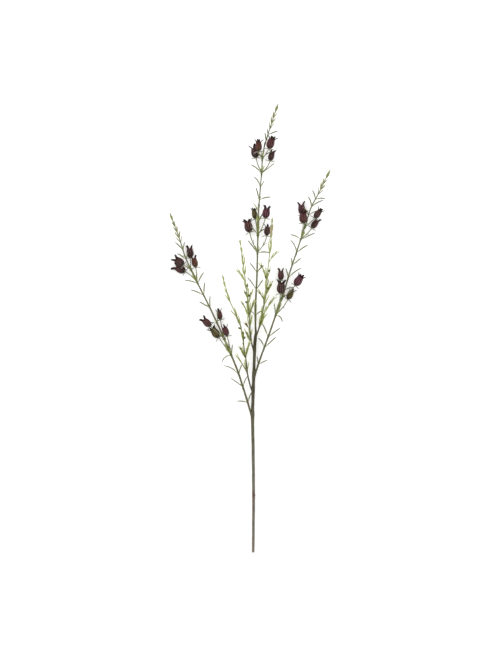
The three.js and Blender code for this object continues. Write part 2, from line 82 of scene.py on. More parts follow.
# A smooth line in space, measured by the share of its length
class Route:
    def __init__(self, points):
        self.points = np.array(points, float)
        steps = np.linalg.norm(np.diff(self.points, axis=0), axis=1)
        self.along = np.concatenate([[0], np.cumsum(steps)])
        self.length = self.along[-1]
        self.along = self.along / self.length

    def at(self, share):
        return np.stack([np.interp(share, self.along, self.points[:, axis]) for axis in range(3)], axis=-1)

    def heading(self, share):
        reach = 0.004
        share = np.clip(share, reach, 1 - reach)
        return unit(self.at(share + reach) - self.at(share - reach))

    # Heights are counted in millimetres from the cut end
    def shareAt(self, height):
        return np.interp(height * mm + cutEnd[1] * mm, self.points[:, 1], self.along)

    def heightAt(self, share):
        return (self.at(share)[..., 1] - cutEnd[1] * mm) / mm


# A route through points, rounded as a stem is between them
def smoothRoute(corners, stepsBetween=24):
    p = [np.array(corner, float) for corner in corners]
    p = [2 * p[0] - p[1], *p, 2 * p[-1] - p[-2]]
    found = []
    for a, b, c, d in zip(p, p[1:], p[2:], p[3:]):
        ab, bc, cd = (math.sqrt(np.linalg.norm(gap)) for gap in (b - a, c - b, d - c))
        leaving = ((b - a) / ab - (c - a) / (ab + bc) + (c - b) / bc) * bc
        arriving = ((c - b) / bc - (d - b) / (bc + cd) + (d - c) / cd) * bc
        s = np.linspace(0, 1, stepsBetween, endpoint=False)[:, None]
        bend = (3 * (c - b) - 2 * leaving - arriving) * s**2 + (2 * (b - c) + leaving + arriving) * s**3
        found.append(b + leaving * s + bend)
    return Route(np.vstack([*found, p[-2][None]]))


# A route that leaves one point towards an elbow and arrives at another
def archRoute(root, elbow, end, steps=16):
    s = np.linspace(0, 1, steps)[:, None]
    return Route((1 - s) ** 2 * root + 2 * s * (1 - s) * elbow + s**2 * end)


# Handling of objects
def clear():
    if bpy.context.mode != "OBJECT":
        bpy.ops.object.mode_set(mode="OBJECT")
    bpy.ops.object.select_all(action="DESELECT")


def take(shape):
    clear()
    shape.select_set(True)
    bpy.context.view_layer.objects.active = shape


def edit(shape):
    take(shape)
    bpy.ops.object.mode_set(mode="EDIT")


# In edit mode, selects the corners, edges or faces that pass a test
def choose(shape, kind, test):
    bpy.ops.mesh.select_mode(type=kind)
    bpy.ops.mesh.select_all(action="DESELECT")
    form = bmesh.from_edit_mesh(shape.data)
    for part in {"VERT": form.verts, "EDGE": form.edges, "FACE": form.faces}[kind]:
        part.select_set(bool(test(part)))
    form.select_flush_mode()
    bmesh.update_edit_mesh(shape.data)


def applyModifier(shape, kind, **settings):
    take(shape)
    modifier = shape.modifiers.new(kind.lower(), kind)
    for name, value in settings.items():
        setattr(modifier, name, value)
    bpy.ops.object.modifier_apply(modifier=modifier.name)


def cornersOf(shape):
    found = np.empty(len(shape.data.vertices) * 3)
    shape.data.vertices.foreach_get("co", found)
    return found.reshape(-1, 3)


def moveCorners(shape, corners):
    shape.data.vertices.foreach_set("co", corners.ravel())
    shape.data.update()


# Writes a number at every corner of a shape, for its paint to read
def mark(shape, name, values):
    layer = shape.data.attributes.get(name) or shape.data.attributes.new(name, "FLOAT", "POINT")
    spreadOut = np.broadcast_to(values, len(shape.data.vertices))
    layer.data.foreach_set("value", spreadOut.astype(np.float32).copy())


def copyOf(shape):
    made = bpy.data.objects.new(shape.name, shape.data.copy())
    bpy.context.scene.collection.objects.link(made)
    return made


# Makes one shape of several, with its faces turned outwards and its soft edges smooth
def joinAs(name, shapes):
    clear()
    for shape in shapes:
        shape.select_set(True)
    bpy.context.view_layer.objects.active = shapes[0]
    if len(shapes) > 1:
        bpy.ops.object.join()
    whole = shapes[0]
    edit(whole)
    bpy.ops.mesh.select_all(action="SELECT")
    bpy.ops.mesh.normals_make_consistent(inside=False)
    bpy.ops.object.mode_set(mode="OBJECT")
    bpy.ops.object.shade_smooth_by_angle(angle=softEdge)
    whole.name = whole.data.name = name
    return whole


# A finished piece: it rides on the stem, stands for CAD nodes and has its paint
def finishPiece(shape, nodes, slotName, *paints):
    shape.data.materials.clear()
    for paint in paints:
        shape.data.materials.append(paint)
    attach(shape, "root")
    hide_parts(*nodes)
    return shape


# Bends a shape modelled along Y, from 0 to 1, onto a route. Across is the way that its X runs at the root,
# and further along it may twist round to another way.
def layAlong(shape, route, across, width, depth, twistedTo=None, twistedBy=0.4):
    corners = cornersOf(shape)
    line = route.at(corners[:, 1])
    forward = route.heading(corners[:, 1])
    turned = np.clip(corners[:, [1]] / twistedBy, 0, 1)
    across = across + (twistedTo - across) * turned if twistedTo is not None else across + 0 * turned
    wide = unit(across - (forward * across).sum(axis=1, keepdims=True) * forward)
    deep = np.cross(wide, forward)
    moveCorners(shape, line + wide * corners[:, [0]] * width + deep * corners[:, [2]] * depth)


# A round stem along a route: a cylinder cut into rings, with a radius and ridges that follow its length
def stemTube(route, radiusAt, sides, rings, ridges=None):
    clear()
    bpy.ops.mesh.primitive_cylinder_add(vertices=sides, radius=1, depth=1)
    shape = bpy.context.object
    edit(shape)
    choose(shape, "EDGE", lambda edge: abs(edge.verts[0].co.z - edge.verts[1].co.z) > 0.5)
    bpy.ops.mesh.subdivide(number_cuts=rings - 1)
    bpy.ops.object.mode_set(mode="OBJECT")
    corners = cornersOf(shape)
    share = corners[:, 2] + 0.5
    angle = np.arctan2(corners[:, 1], corners[:, 0])
    radius = radiusAt(share) * (1 + (ridges(angle, share) if ridges else 0))
    forward = route.heading(share)
    wide = unit(np.cross(forward, up))
    deep = np.cross(wide, forward)
    outward = wide * (np.cos(angle) * radius)[:, None] + deep * (np.sin(angle) * radius)[:, None]
    moveCorners(shape, route.at(share) + outward)
    return shape


# The camera looks straight down on the stem from where the photograph's frame takes it in
photo = {"high": 667, "mmPerPixel": 2.2, "centre": (-7, 484, 22), "lens": 90, "sensor": 36, "reach": 50}


def aimCamera():
    distance = photo["high"] * photo["mmPerPixel"] * mm * photo["lens"] / photo["sensor"]
    place = placed(photo["centre"]) + up * distance
    bpy.ops.object.camera_add(location=place, rotation=(0, 0, 0))
    camera = bpy.context.object
    camera.data.lens = photo["lens"]
    camera.data.sensor_width = photo["sensor"]
    camera.data.clip_end = photo["reach"]
    bpy.context.scene.camera = camera


aimCamera()
print("camera aimed")


# Colours are given as they look on screen
def colour(code):
    parts = [int(code[at:at + 2], 16) / 255 for at in (1, 3, 5)]
    return (*[part / 12.92 if part <= 0.04045 else ((part + 0.055) / 1.055) ** 2.4 for part in parts], 1)


# A socket that can stand in sums, each of which adds a Math node
class Wire:
    def __init__(self, paint, socket):
        self.paint = paint
        self.socket = socket

    def maths(self, operation, first, second=0.0):
        return self.paint.node("ShaderNodeMath", {"operation": operation}, {0: first, 1: second})

    def __add__(self, other):
        return self.maths("ADD", self, other)

    def __radd__(self, other):
        return self.maths("ADD", other, self)

    def __sub__(self, other):
        return self.maths("SUBTRACT", self, other)

    def __rsub__(self, other):
        return self.maths("SUBTRACT", other, self)

    def __mul__(self, other):
        return self.maths("MULTIPLY", self, other)

    def __rmul__(self, other):
        return self.maths("MULTIPLY", other, self)

    def wave(self):
        return self.maths("COSINE", self)


# A material with the patterns that the stem's finishes share
class Paint:
    def __init__(self, name, roughness, sheen=0.0, gloss=0.25):
        self.material = bpy.data.materials.new(name)
        self.material.use_nodes = True
        self.tree = self.material.node_tree
        self.shader = self.tree.nodes["Principled BSDF"]
        self.shader.inputs["Roughness"].default_value = roughness
        self.shader.inputs["Sheen Weight"].default_value = sheen
        self.shader.inputs["Specular IOR Level"].default_value = gloss

    def node(self, kind, settings, inputs, output=0):
        made = self.tree.nodes.new(kind)
        for name, value in settings.items():
            if name == "stops":
                self.fillRamp(made.color_ramp, value)
            else:
                setattr(made, name, value)
        for key, value in inputs.items():
            self.join(made.inputs[key], value)
        return Wire(self, made.outputs[output])

    def join(self, socket, value):
        if isinstance(value, Wire):
            self.tree.links.new(value.socket, socket)
        else:
            socket.default_value = value

    def fillRamp(self, ramp, stops):
        while len(ramp.elements) < len(stops):
            ramp.elements.new(0.5)
        for element, (place, code) in zip(ramp.elements, stops):
            element.position = place
            element.color = colour(code)

    def position(self, stretch=(1, 1, 1), shift=(0, 0, 0)):
        own = self.node("ShaderNodeTexCoord", {}, {}, "Object")
        return self.node("ShaderNodeMapping", {}, {"Vector": own, "Scale": stretch, "Location": shift})

    # The height above the cut end, in metres
    def height(self):
        return self.node("ShaderNodeSeparateXYZ", {}, {0: self.position()}, 1) - cutEnd[1] * mm

    # The distance from a point, in metres
    def gapFrom(self, point):
        inputs = {0: self.position(), 1: tuple(placed(point))}
        return self.node("ShaderNodeVectorMath", {"operation": "DISTANCE"}, inputs, "Value")

    # How far across and how far along the piece, by its own map
    def laid(self):
        uv = self.node("ShaderNodeUVMap", {"uv_map": "UVMap"}, {})
        return [self.node("ShaderNodeSeparateXYZ", {}, {0: uv}, number) for number in (0, 1)]

    def marked(self, name):
        return self.node("ShaderNodeAttribute", {"attribute_name": name}, {}, "Fac")

    def noise(self, size, detail=3, stretch=(1, 1, 1), shift=(0, 0, 0)):
        inputs = {"Vector": self.position(stretch, shift), "Scale": 1 / (size * mm), "Detail": detail}
        return self.node("ShaderNodeTexNoise", {}, inputs)

    # Rises smoothly from nought to one between two values
    def fade(self, value, start, end):
        inputs = {0: value, 1: start, 2: end}
        return self.node("ShaderNodeMapRange", {"interpolation_type": "SMOOTHSTEP"}, inputs)

    def ramp(self, value, stops):
        return self.node("ShaderNodeValToRGB", {"stops": stops}, {0: value})

    def blend(self, share, first, second):
        first, second = (colour(tone) if isinstance(tone, str) else tone for tone in (first, second))
        return self.node("ShaderNodeMix", {"data_type": "RGBA"}, {0: share, 6: first, 7: second}, 2)

    def finish(self, base, roughness=None, relief=None, depth=0.1):
        self.join(self.shader.inputs["Base Color"], base)
        if roughness is not None:
            self.join(self.shader.inputs["Roughness"], roughness)
        if relief is not None:
            inputs = {"Height": relief, "Distance": depth * mm, "Strength": 1.0}
            self.join(self.shader.inputs["Normal"], self.node("ShaderNodeBump", {}, inputs))
        return self.material


# Plain pale floor and soft light
studio = {
    "floorSize": 60, "floorDrop": 0.2, "floor": "#fbfbfb", "floorGlow": 0.3,
    "sky": "#ffffff", "skyStrength": 0.85,
    "lamps": [
        {"from": (-1.1, 1.3, 2.6), "size": 2.4, "watts": 24},
        {"from": (1.6, -0.9, 2.4), "size": 2.6, "watts": 12},
    ],
}


def buildStudio():
    bpy.ops.mesh.primitive_plane_add(size=studio["floorSize"], location=(0, 0, -studio["floorDrop"] * mm))
    floor = bpy.context.object
    floor.name = "floor"
    paint = Paint("floorPaint", 0.9)
    paint.shader.inputs["Emission Color"].default_value = colour(studio["floor"])
    paint.shader.inputs["Emission Strength"].default_value = studio["floorGlow"]
    floor.data.materials.append(paint.finish(colour(studio["floor"])))
    for lamp in studio["lamps"]:
        aim = Vector(lamp["from"]).to_track_quat("Z", "Y").to_euler()
        bpy.ops.object.light_add(type="AREA", location=lamp["from"], rotation=aim)
        light = bpy.context.object.data
        light.size = lamp["size"]
        light.energy = lamp["watts"]
    world = bpy.data.worlds.new("softSky")
    world.use_nodes = True
    sky = world.node_tree.nodes["Background"]
    sky.inputs["Color"].default_value = colour(studio["sky"])
    sky.inputs["Strength"].default_value = studio["skyStrength"]
    bpy.context.scene.world = world
    bpy.context.scene.view_settings.view_transform = "Standard"


buildStudio()
print("studio lit")


# Bark: grey-brown below, darker towards the forks and olive at the top, with long grain, flecks and a knot
barkLook = {
    "stops": [
        (0, "#70675b"), (0.1, "#6b685e"), (0.22, "#665c52"), (0.3, "#6b675c"), (0.42, "#5f5c51"),
        (0.56, "#524f3b"), (0.7, "#3b3627"), (0.88, "#3e3b26"), (0.96, "#38351f"), (1, "#4a4733"),
    ],
    "drift": (16, 0.08), "pale": "#a29b88", "dark": "#3b372b", "flecks": "#b8b09c", "fleckSize": 1.3,
    "knot": (2.5, 128, 6.6), "knotReach": (13, 2), "knotColour": "#5b3d33",
    "grainSize": 0.9, "grainStretch": (1, 0.06, 1), "depth": 0.35,
}


def barkPaint():
    paint = Paint("bark", 0.8, gloss=0.12)
    height = paint.height() * (1 / (stalkHeight * mm))
    driftSize, driftBy = barkLook["drift"]
    base = paint.ramp(height + (paint.noise(driftSize, 2) - 0.5) * driftBy, barkLook["stops"])
    grain = paint.noise(barkLook["grainSize"], 5, barkLook["grainStretch"])
    belowTop = paint.fade(height, 1, 0.88)
    base = paint.blend(paint.fade(grain, 0.42, 0.72) * (belowTop * 0.35 + 0.05), base, barkLook["pale"])
    base = paint.blend(paint.fade(grain, 0.5, 0.3) * (belowTop * 0.4 + 0.1), base, barkLook["dark"])
    farthest, nearest = barkLook["knotReach"]
    nearKnot = paint.fade(paint.gapFrom(barkLook["knot"]), farthest * mm, nearest * mm)
    base = paint.blend(nearKnot * 0.75, base, barkLook["knotColour"])
    flecks = paint.fade(paint.noise(barkLook["fleckSize"], 2, (1, 0.45, 1), (0.3, 0, 0)), 0.66, 0.74)
    base = paint.blend(flecks * paint.fade(height, 1, 0.8) * 0.5, base, barkLook["flecks"])
    return paint.finish(base, 0.72 + grain * 0.2, grain + flecks * 0.4, barkLook["depth"])


# The bare wood of the cut end, with its year rings
cutLook = {
    "middle": (0, 0, 2.8), "radius": 2.8, "ringGap": 0.55, "ringColour": "#8a7048", "depth": 0.15,
    "stops": [(0, "#7c6547"), (0.25, "#c2ab82"), (0.8, "#a98f66"), (1, "#6b5638")],
}


def cutPaint():
    paint = Paint("cutWood", 0.85)
    gap = paint.gapFrom(cutLook["middle"])
    rings = (gap * (2 * math.pi / (cutLook["ringGap"] * mm)) + paint.noise(1.5) * 3).wave()
    base = paint.ramp(paint.fade(gap, 0, cutLook["radius"] * mm), cutLook["stops"])
    base = paint.blend(paint.fade(rings, 0.2, 1) * 0.3, base, cutLook["ringColour"])
    return paint.finish(base, 0.85, paint.noise(0.4, 4), cutLook["depth"])


# Green bark of branches and sprigs: a base that changes with height, grain along it, greener nodes, brown
# blotches, and old wood towards the root
greenStemLook = {
    "mottle": 5, "grain": 0.6, "grainColour": "#3f412b", "blotches": 24, "blotchColour": "#66523f",
    "woodColour": "#4a4733", "depth": 0.12,
}


def greenStemPaint(name, low, high, node, pale, lowest, highest):
    paint = Paint(name, 0.62)
    look = greenStemLook
    base = paint.blend(paint.fade(paint.height(), lowest * mm, highest * mm), low, high)
    base = paint.blend(paint.fade(paint.noise(look["mottle"], 3), 0.5, 0.75) * 0.45, base, pale)
    grain = paint.noise(look["grain"], 4, (1, 0.12, 1))
    base = paint.blend(paint.fade(grain, 0.5, 0.3) * 0.35, base, look["grainColour"])
    base = paint.blend(paint.marked("swollen") * 0.8, base, node)
    blotches = paint.fade(paint.noise(look["blotches"], 2, (1, 0.5, 1)), 0.56, 0.7)
    base = paint.blend(blotches * 0.55, base, look["blotchColour"])
    base = paint.blend(paint.marked("woody") * 0.9, base, look["woodColour"])
    return paint.finish(base, 0.55 + grain * 0.2, grain, look["depth"])


# Leaves: green where they leave the stem and greyer towards the tip, each a little different
leafLook = {"patches": 3.5, "vein": "#c0c3a6", "depth": 0.12}


def leafPaint(name, base, tip, dry):
    paint = Paint(name, 0.6, 0.15)
    across, along = paint.laid()
    tint = paint.marked("tint")
    shade = paint.blend(paint.fade(along + (tint - 0.5) * 0.5, 0.05, 0.85), base, tip)
    patches = paint.noise(leafLook["patches"], 3)
    shade = paint.blend(paint.fade(patches, 0.52, 0.8) * 0.5, shade, dry)
    vein = paint.fade((across * (2 * math.pi)).wave(), -0.82, -1)
    shade = paint.blend(vein * 0.25, shade, leafLook["vein"])
    shade = paint.blend(paint.fade(along, 0.9, 1) * tint * 0.7, shade, dry)
    relief = (across * (6 * math.pi)).wave() * 0.3 + patches
    return paint.finish(shade, 0.5 + patches * 0.25, relief, leafLook["depth"])


# Petals: a dark body clouded with a second tone, a blush in the middle, paler streaks along its ribs that
# are partly the petals' own colour and partly painted highlight, a nearly black foot and dusky tips
petalLook = {"clouds": 9, "patches": 6, "fine": 1.1, "streaks": 3, "waver": 1.6, "depth": 0.2}


def petalPaint(name, body, cloud, blush, streakAndHighlight, foot, tip):
    paint = Paint(name, 0.42, gloss=0.1)
    look = petalLook
    across, along = paint.laid()
    clouds = paint.noise(look["clouds"], 2)
    patches = paint.noise(look["patches"], 3, shift=(0.4, 0, 0))
    fine = paint.noise(look["fine"], 4)
    belly = paint.fade(along, 0.08, 0.3) * paint.fade(along, 0.78, 0.5)
    shade = paint.blend(paint.fade(clouds, 0.42, 0.62), body, cloud)
    shade = paint.blend(paint.fade(patches, 0.5, 0.7) * belly * 0.65, shade, blush)
    stripes = (across * (look["streaks"] * 2 * math.pi) + (fine - 0.5) * look["waver"]).wave()
    ribs = paint.fade(stripes, -0.1, -1)
    # Paler streaks on the ribs across the belly: partly the petals' own streaks, partly painted highlight
    shade = paint.blend(ribs * belly * (paint.fade(patches, 0.62, 0.42) * 0.45 + 0.2), shade, streakAndHighlight)
    seams = paint.fade((across * (2 * math.pi)).wave(), 0.75, 1)
    shade = paint.blend(seams * 0.65, shade, foot)
    shade = paint.blend(paint.fade(along + (patches - 0.5) * 0.2, 0.3, 0.1) * 0.9, shade, foot)
    shade = paint.blend(paint.fade(along + (fine - 0.5) * 0.1, 0.6, 0.8) * 0.8, shade, tip)
    return paint.finish(shade, 0.36 + fine * 0.25, ribs * 0.6 + fine * 0.5, look["depth"])


# Closed buds: green with paler tips to their scales
def budPaint(name, body, tip):
    paint = Paint(name, 0.55, 0.1)
    along = paint.laid()[1]
    shade = paint.blend(paint.fade(paint.noise(2, 3), 0.4, 0.8) * 0.7, body, tip)
    shade = paint.blend(paint.fade(along, 0.72, 0.98) * 0.8, shade, tip)
    return paint.finish(shade, 0.55, paint.noise(0.7, 3), 0.12)


# Green stems: low down, high up, at a node and in the paler mottle, and the heights between which they change
stemTones = {
    "branchBark": ("#605e40", "#747655", "#52682a", "#85835f", 330, 800),
    "sprigBark": ("#6b6b3c", "#b0b578", "#66702f", "#aead7a", 400, 640),
    "flowerStalkSkin": ("#777659", "#7f7e62", "#6b7a38", "#878068", 330, 800),
}
# Leaves: by the stem, towards the tip, and where dry
leafTones = {
    "branchLeaf": ("#80864c", "#6e705a", "#7c7a6a"), "spikeLeaf": ("#79804a", "#989c6a", "#a4a584"),
    "youngLeaf": ("#86923f", "#a6ae60", "#b6b980"), "sprigLeaf": ("#909c4c", "#b9be82", "#c4c494"),
    "dryLeaf": ("#91885e", "#bba985", "#c9bb98"), "bract": ("#7d7c62", "#948d8b", "#a49a92"),
    "sepal": ("#3f3d22", "#33261d", "#4d4730"),
}
budTones = {"bud": ("#4a5122", "#7f8748"), "redBud": ("#5d3b33", "#8a6257")}
# Petals: body, clouds, blush, paler streaks that are partly painted highlight, foot and tips
petalTones = {
    "wine": ("#40201f", "#31201a", "#632c34", "#8d6d6b", "#1c0f08", "#281719"),
    "dark": ("#371e1c", "#291b15", "#51292c", "#836a68", "#170f09", "#21171a"),
    "plum": ("#421e23", "#321c1e", "#6c303f", "#936976", "#1e100c", "#2c1920"),
    "russet": ("#45231d", "#352219", "#692f28", "#94705f", "#20140b", "#301e1a"),
    "olive": ("#31280f", "#443a1a", "#6b5e33", "#8f8560", "#161107", "#33241d"),
}
paints = {"bark": barkPaint(), "cutWood": cutPaint()}
for mix, tones in (
    (greenStemPaint, stemTones), (leafPaint, leafTones), (budPaint, budTones), (petalPaint, petalTones),
):
    paints.update({name: mix(name, *tone) for name, tone in tones.items()})
print("paints mixed:", len(paints))

# The stems, with their routes as in the part, in millimetres from the cut end. Radii are at root and tip.
stalk = {
    "route": [
        (0, 0, 2.8), (0.6, 63, 4.8), (0.9, 125, 6.6), (0, 228, 9.6), (-1.3, 294, 11.6),
        (-0.6, 338, 12.9), (0.9, 382, 14.1), (2.4, 426, 15.4), (3.6, 459, 16.3), (5.7, stalkHeight, 17.1),
    ],
    "foot": 2.8, "fork": 3.6, "top": 2.95, "forks": [305, 360, 392, 448, 470],
    "collarSwell": 0.7, "collarReach": 10, "thinsOver": 7, "thinsBy": 0.9, "sides": 28, "rings": 100,
    "cutRim": 0.35, "cutDepth": 0.25, "cutReach": 0.6,
}
branchHabit = {
    "sides": 14, "rings": 100, "spikeStep": 6.2, "spikeOpening": 0.95, "leafLength": 26, "leafWidth": 1.0,
    "leaving": 29, "ending": 66,
}
branches = [
    {
        **branchHabit, "name": "leftBranch", "node": "left_branch", "seed": 11, "radius": (2.15, 1),
        "route": [
            (-1.6, 296, 11.6), (-12.5, 333, 13), (-33, 398, 15.5), (-49, 438, 17.5), (-64, 473, 19),
            (-95, 540, 19), (-123.5, 597, 18), (-148, 649, 20), (-163, 695, 24), (-180, 741, 29),
        ],
        "pairs": [333, 367, 396, 437, 507, 541, 569, 595, 648, 669],
        "spikeFrom": 684, "woodyReach": 14, "taper": 1.8,
    },
    {
        **branchHabit, "name": "centreBranch", "node": "centre_branch", "seed": 23, "radius": (2.05, 0.95),
        "route": [
            (5.72, 484.3, 17.1), (4.8, 518, 18.5), (5.7, 558, 20), (8, 602, 21.5), (9.5, 663, 23.5),
            (11.7, 751, 26), (15, 795, 26), (18.4, 837, 26), (21.5, 880, 28), (33.7, 925, 31),
            (42.5, 952, 33), (52.4, 981, 36),
        ],
        "pairs": [524, 582, 619, 662, 702, 731, 778, 806, 836, 870, 908, 921],
        "spikeFrom": 934, "woodyReach": 18, "taper": 1.1,
    },
    {
        **branchHabit, "name": "rightBranch", "node": "right_branch", "seed": 37, "radius": (2.1, 1),
        "route": [
            (0.9, 381, 14.1), (6.8, 402, 15), (16, 430, 16), (32.6, 475, 18), (50.2, 526, 19),
            (63.4, 562, 20), (83, 626, 21), (97, 668, 21), (114, 719, 21), (127, 760, 23),
            (143.7, 792, 26), (166.3, 838, 30),
        ],
        "pairs": [417, 454, 477, 525, 579, 608, 635, 663, 691, 744, 763, 779],
        "spikeFrom": 790, "woodyReach": 24, "taper": 1.4,
    },
]
sprigHabit = {
    "sides": 12, "rings": 80, "spikeStep": 8, "spikeOpening": 0.45, "leafLength": 22, "leafWidth": 0.97,
    "leaving": 15, "ending": 4, "taper": 1,
}
sprigs = [
    {
        **sprigHabit, "name": "outerSprig", "node": "outer_sprig", "seed": 41, "radius": (1.7, 0.85),
        "route": [
            (-0.5, 352, 13.4), (-6.4, 369, 16.5), (-11.4, 389, 20), (-15.2, 421, 25), (-19.6, 448, 29),
            (-24, 485, 33), (-31, 510, 36), (-50, 552, 39), (-58, 573, 40), (-66, 606, 42),
        ],
        "pairs": [404, 434, 470, 503, 521, 554],
        "spikeFrom": 572, "woodyReach": 160,
        "twigs": [
            {"from": 389, "reach": (-22, 42, 8), "pairs": 2, "bud": False, "woody": 0.35},
            {"from": 421, "reach": (-14, 33, 5), "pairs": 2, "bud": True, "woody": 0.8},
            {"from": 424, "reach": (7, 37, 9), "pairs": 2, "bud": False, "woody": 0.4},
        ],
        "buds": [(481, 60), (492, 170), (470, 20)],
    },
    {
        **sprigHabit, "name": "innerSprig", "node": "inner_sprig", "seed": 53, "radius": (1.7, 0.8),
        "route": [
            (1.9, 444, 15.9), (-3.4, 463, 22), (-6.6, 487, 30), (-8, 514, 37), (-10.8, 542, 42),
            (-13, 567, 46), (-16, 591, 49), (-20, 622, 53), (-25, 663, 57), (-29, 686, 60),
        ],
        "pairs": [478, 500, 530, 562, 612, 632],
        "spikeFrom": 646, "woodyReach": 112,
        "twigs": [
            {"from": 458, "reach": (-14, 30, 3), "pairs": 3, "bud": True, "woody": 0.7},
            {"from": 487, "reach": (-12, 20, 6), "pairs": 1, "bud": True, "woody": 0.9, "red": True},
            {"from": 512, "reach": (-17, 40, 2), "pairs": 3, "bud": True, "woody": 0.3},
            {"from": 514, "reach": (9, 37, 6), "pairs": 2, "bud": False, "woody": 0.8},
            {"from": 541, "reach": (8, 34, 4), "pairs": 3, "bud": True},
            {"from": 590, "reach": (-15, 27, 4), "pairs": 2, "bud": False},
        ],
        "buds": [(562, 20), (569, 170), (584, 40), (548, 200)],
    },
    {
        **sprigHabit, "name": "rightSprig", "node": "right_sprig", "seed": 67, "radius": (1.75, 0.8),
        "route": [
            (5.2, 474, 16.8), (11.5, 492, 21), (18.3, 514, 27), (22.2, 538, 33), (28.6, 575, 41),
            (32, 624, 48), (34.5, 646, 50), (37, 672, 52), (39.2, 699, 54), (41.4, 732, 57),
        ],
        "pairs": [499, 510, 521, 548, 576, 606, 660],
        "spikeFrom": 678, "woodyReach": 118,
        "twigs": [
            {"from": 514, "reach": (25, 45, -2), "pairs": 2, "bud": False, "woody": 0.6},
            {"from": 549, "reach": (-12, 27, 5), "pairs": 2, "bud": True, "woody": 0.9},
            {"from": 562, "reach": (14, 31, -3), "pairs": 3, "bud": True},
            {"from": 590, "reach": (-13, 44, 7), "pairs": 4, "bud": True, "woody": 0.5},
            {"from": 634, "reach": (15, 24, 3), "pairs": 1, "bud": False},
        ],
        "buds": [(579, 15), (603, 165), (617, 20)],
    },
]

# How high a bloom's axis lies, as a share of its girth, when it rests with a seam between two petals below. As
# in the part, it then touches where it is widest, one facet away from the seam.
widest = {"radius": 0.49, "relief": 0.045, "facets": 16}
restingShare = widest["radius"] * (1 + widest["relief"]) * math.cos(2 * math.pi / widest["facets"])

# The blooms: the middle of each foot, the way it points, its girth, its turn about its own axis and its paint
clusters = [
    {
        "name": "left_lower_bloom", "branch": "leftBranch", "nodes": (438, 473),
        "blooms": [
            ((-76.8, 476.3, 11.5), (-0.57, 0.82, 0), 16.4, 20, "olive"),
            ((-57.6, 479.6, 25), (-0.26, 0.95, 0.16), 12.6, 50, "wine"),
            ((-95, 501, 25), (-0.72, 0.7, 0.2), 15, 0, "wine"),
            ((-72.6, 515.9, 13), (-0.18, 0.98, 0), 11.6, 35, "wine"),
        ],
    },
    {
        "name": "left_upper_bloom", "branch": "leftBranch", "nodes": (597, 625),
        "blooms": [
            ((-151.6, 621.5, restingShare * 18), (-0.88, 0.47, 0), 18, 0, "dark"),
            ((-126.7, 630.9, 25), (-0.2, 0.98, 0.1), 13, 10, "russet"),
            ((-154, 636.2, 27), (-0.8, 0.57, 0.22), 16, 10, "dark"),
            ((-138.6, 652.3, 9.8), (-0.08, 0.99, 0), 15.4, 0, "dark"),
        ],
    },
    {
        "name": "centre_lower_bloom", "branch": "centreBranch", "nodes": (663, 701),
        "blooms": [
            ((-8.1, 708.4, 15), (-0.2, 0.98, -0.05), 17.4, 15, "wine"),
            ((29.9, 700.7, 20), (0.1, 0.99, 0.02), 12.8, 45, "dark"),
            ((4.6, 738.1, 12), (-0.15, 0.98, -0.05), 11.6, 20, "olive"),
            ((26.6, 738.1, 34), (0.17, 0.98, 0.12), 15.8, 10, "plum"),
        ],
    },
    {
        "name": "centre_upper_bloom", "branch": "centreBranch", "nodes": (837, 869),
        "blooms": [
            ((6.2, 872.3, 17), (-0.16, 0.98, -0.05), 17, 45, "dark"),
            ((37.6, 865.7, 19), (0.25, 0.96, -0.05), 12.8, 20, "dark"),
            ((11.7, 884.4, 36), (0, 0.98, 0.18), 14, 30, "russet"),
            ((34.5, 890.6, 36), (0.33, 0.93, 0.12), 16.2, 30, "wine"),
        ],
    },
    {
        "name": "right_lower_bloom", "branch": "rightBranch", "nodes": (526, 562),
        "blooms": [
            ((60.1, 573.1, 32), (0.08, 0.98, 0.14), 17.6, 10, "dark"),
            ((77.2, 560.6, 11), (0.42, 0.91, 0), 13, 30, "olive"),
            ((61, 603, 14), (0, 0.99, -0.05), 13, 5, "wine"),
            ((93.1, 590.7, 27), (0.55, 0.83, 0.1), 16.6, 25, "plum"),
        ],
    },
    {
        "name": "right_upper_bloom", "branch": "rightBranch", "nodes": (692, 719),
        "blooms": [
            ((109.6, 727.1, 34), (0, 0.98, 0.16), 16.6, 10, "wine"),
            ((130.5, 718.3, restingShare * 13.4), (0.57, 0.82, 0), 13.4, 0, "dark"),
            ((108.7, 747.5, 11.2), (-0.13, 0.98, -0.02), 15.6, 0, "plum"),
            ((135.5, 738.8, 30), (0.6, 0.79, 0.12), 12.8, 30, "dark"),
        ],
    },
]


def clustersOn(stem):
    return [cluster for cluster in clusters if cluster["branch"] == stem["name"]]


# A point of a stem, the ways that it faces there, and its radius
def stationOn(route, share, radius, leafWidth=1.0):
    forward = route.heading(share)
    right = unit(np.cross(forward, up))
    return {
        "point": route.at(share), "forward": forward, "right": right, "above": np.cross(right, forward),
        "radius": radius, "leafWidth": leafWidth,
    }


def radiusOf(stem, share):
    return mixed(stem["radius"], share ** stem["taper"]) * mm


# The same at a height of a branch or sprig
def stationAt(route, stem, height):
    share = route.shareAt(height)
    return stationOn(route, share, radiusOf(stem, share), stem["leafWidth"])


# The way out of a stem at a turn about it, in degrees from its right
def outwardAt(station, turn):
    angle = math.radians(turn)
    return station["right"] * math.cos(angle) + station["above"] * math.sin(angle)


# The main stalk: bark with grooves and old leaf scars, a swelling at each fork, a cut foot and a twig stub
def stalkRadius(share, route):
    height = route.heightAt(share)
    marks = [0, stalk["forks"][0], stalkHeight]
    found = np.interp(height, marks, [stalk["foot"], stalk["fork"], stalk["top"]])
    for fork in stalk["forks"]:
        found = found + stalk["collarSwell"] * hump(height - fork, stalk["collarReach"])
    thinning = np.interp(height, [stalkHeight - stalk["thinsOver"], stalkHeight], [0, stalk["thinsBy"]])
    return (found - thinning) * mm


barkRelief = {
    "grooves": 9, "grooveDepth": 0.035, "twist": 5, "lumps": 0.03, "scar": 0.16, "scarReach": (3.2, 0.42),
    "fadesOver": 0.06, "fadesTo": 0.25,
}
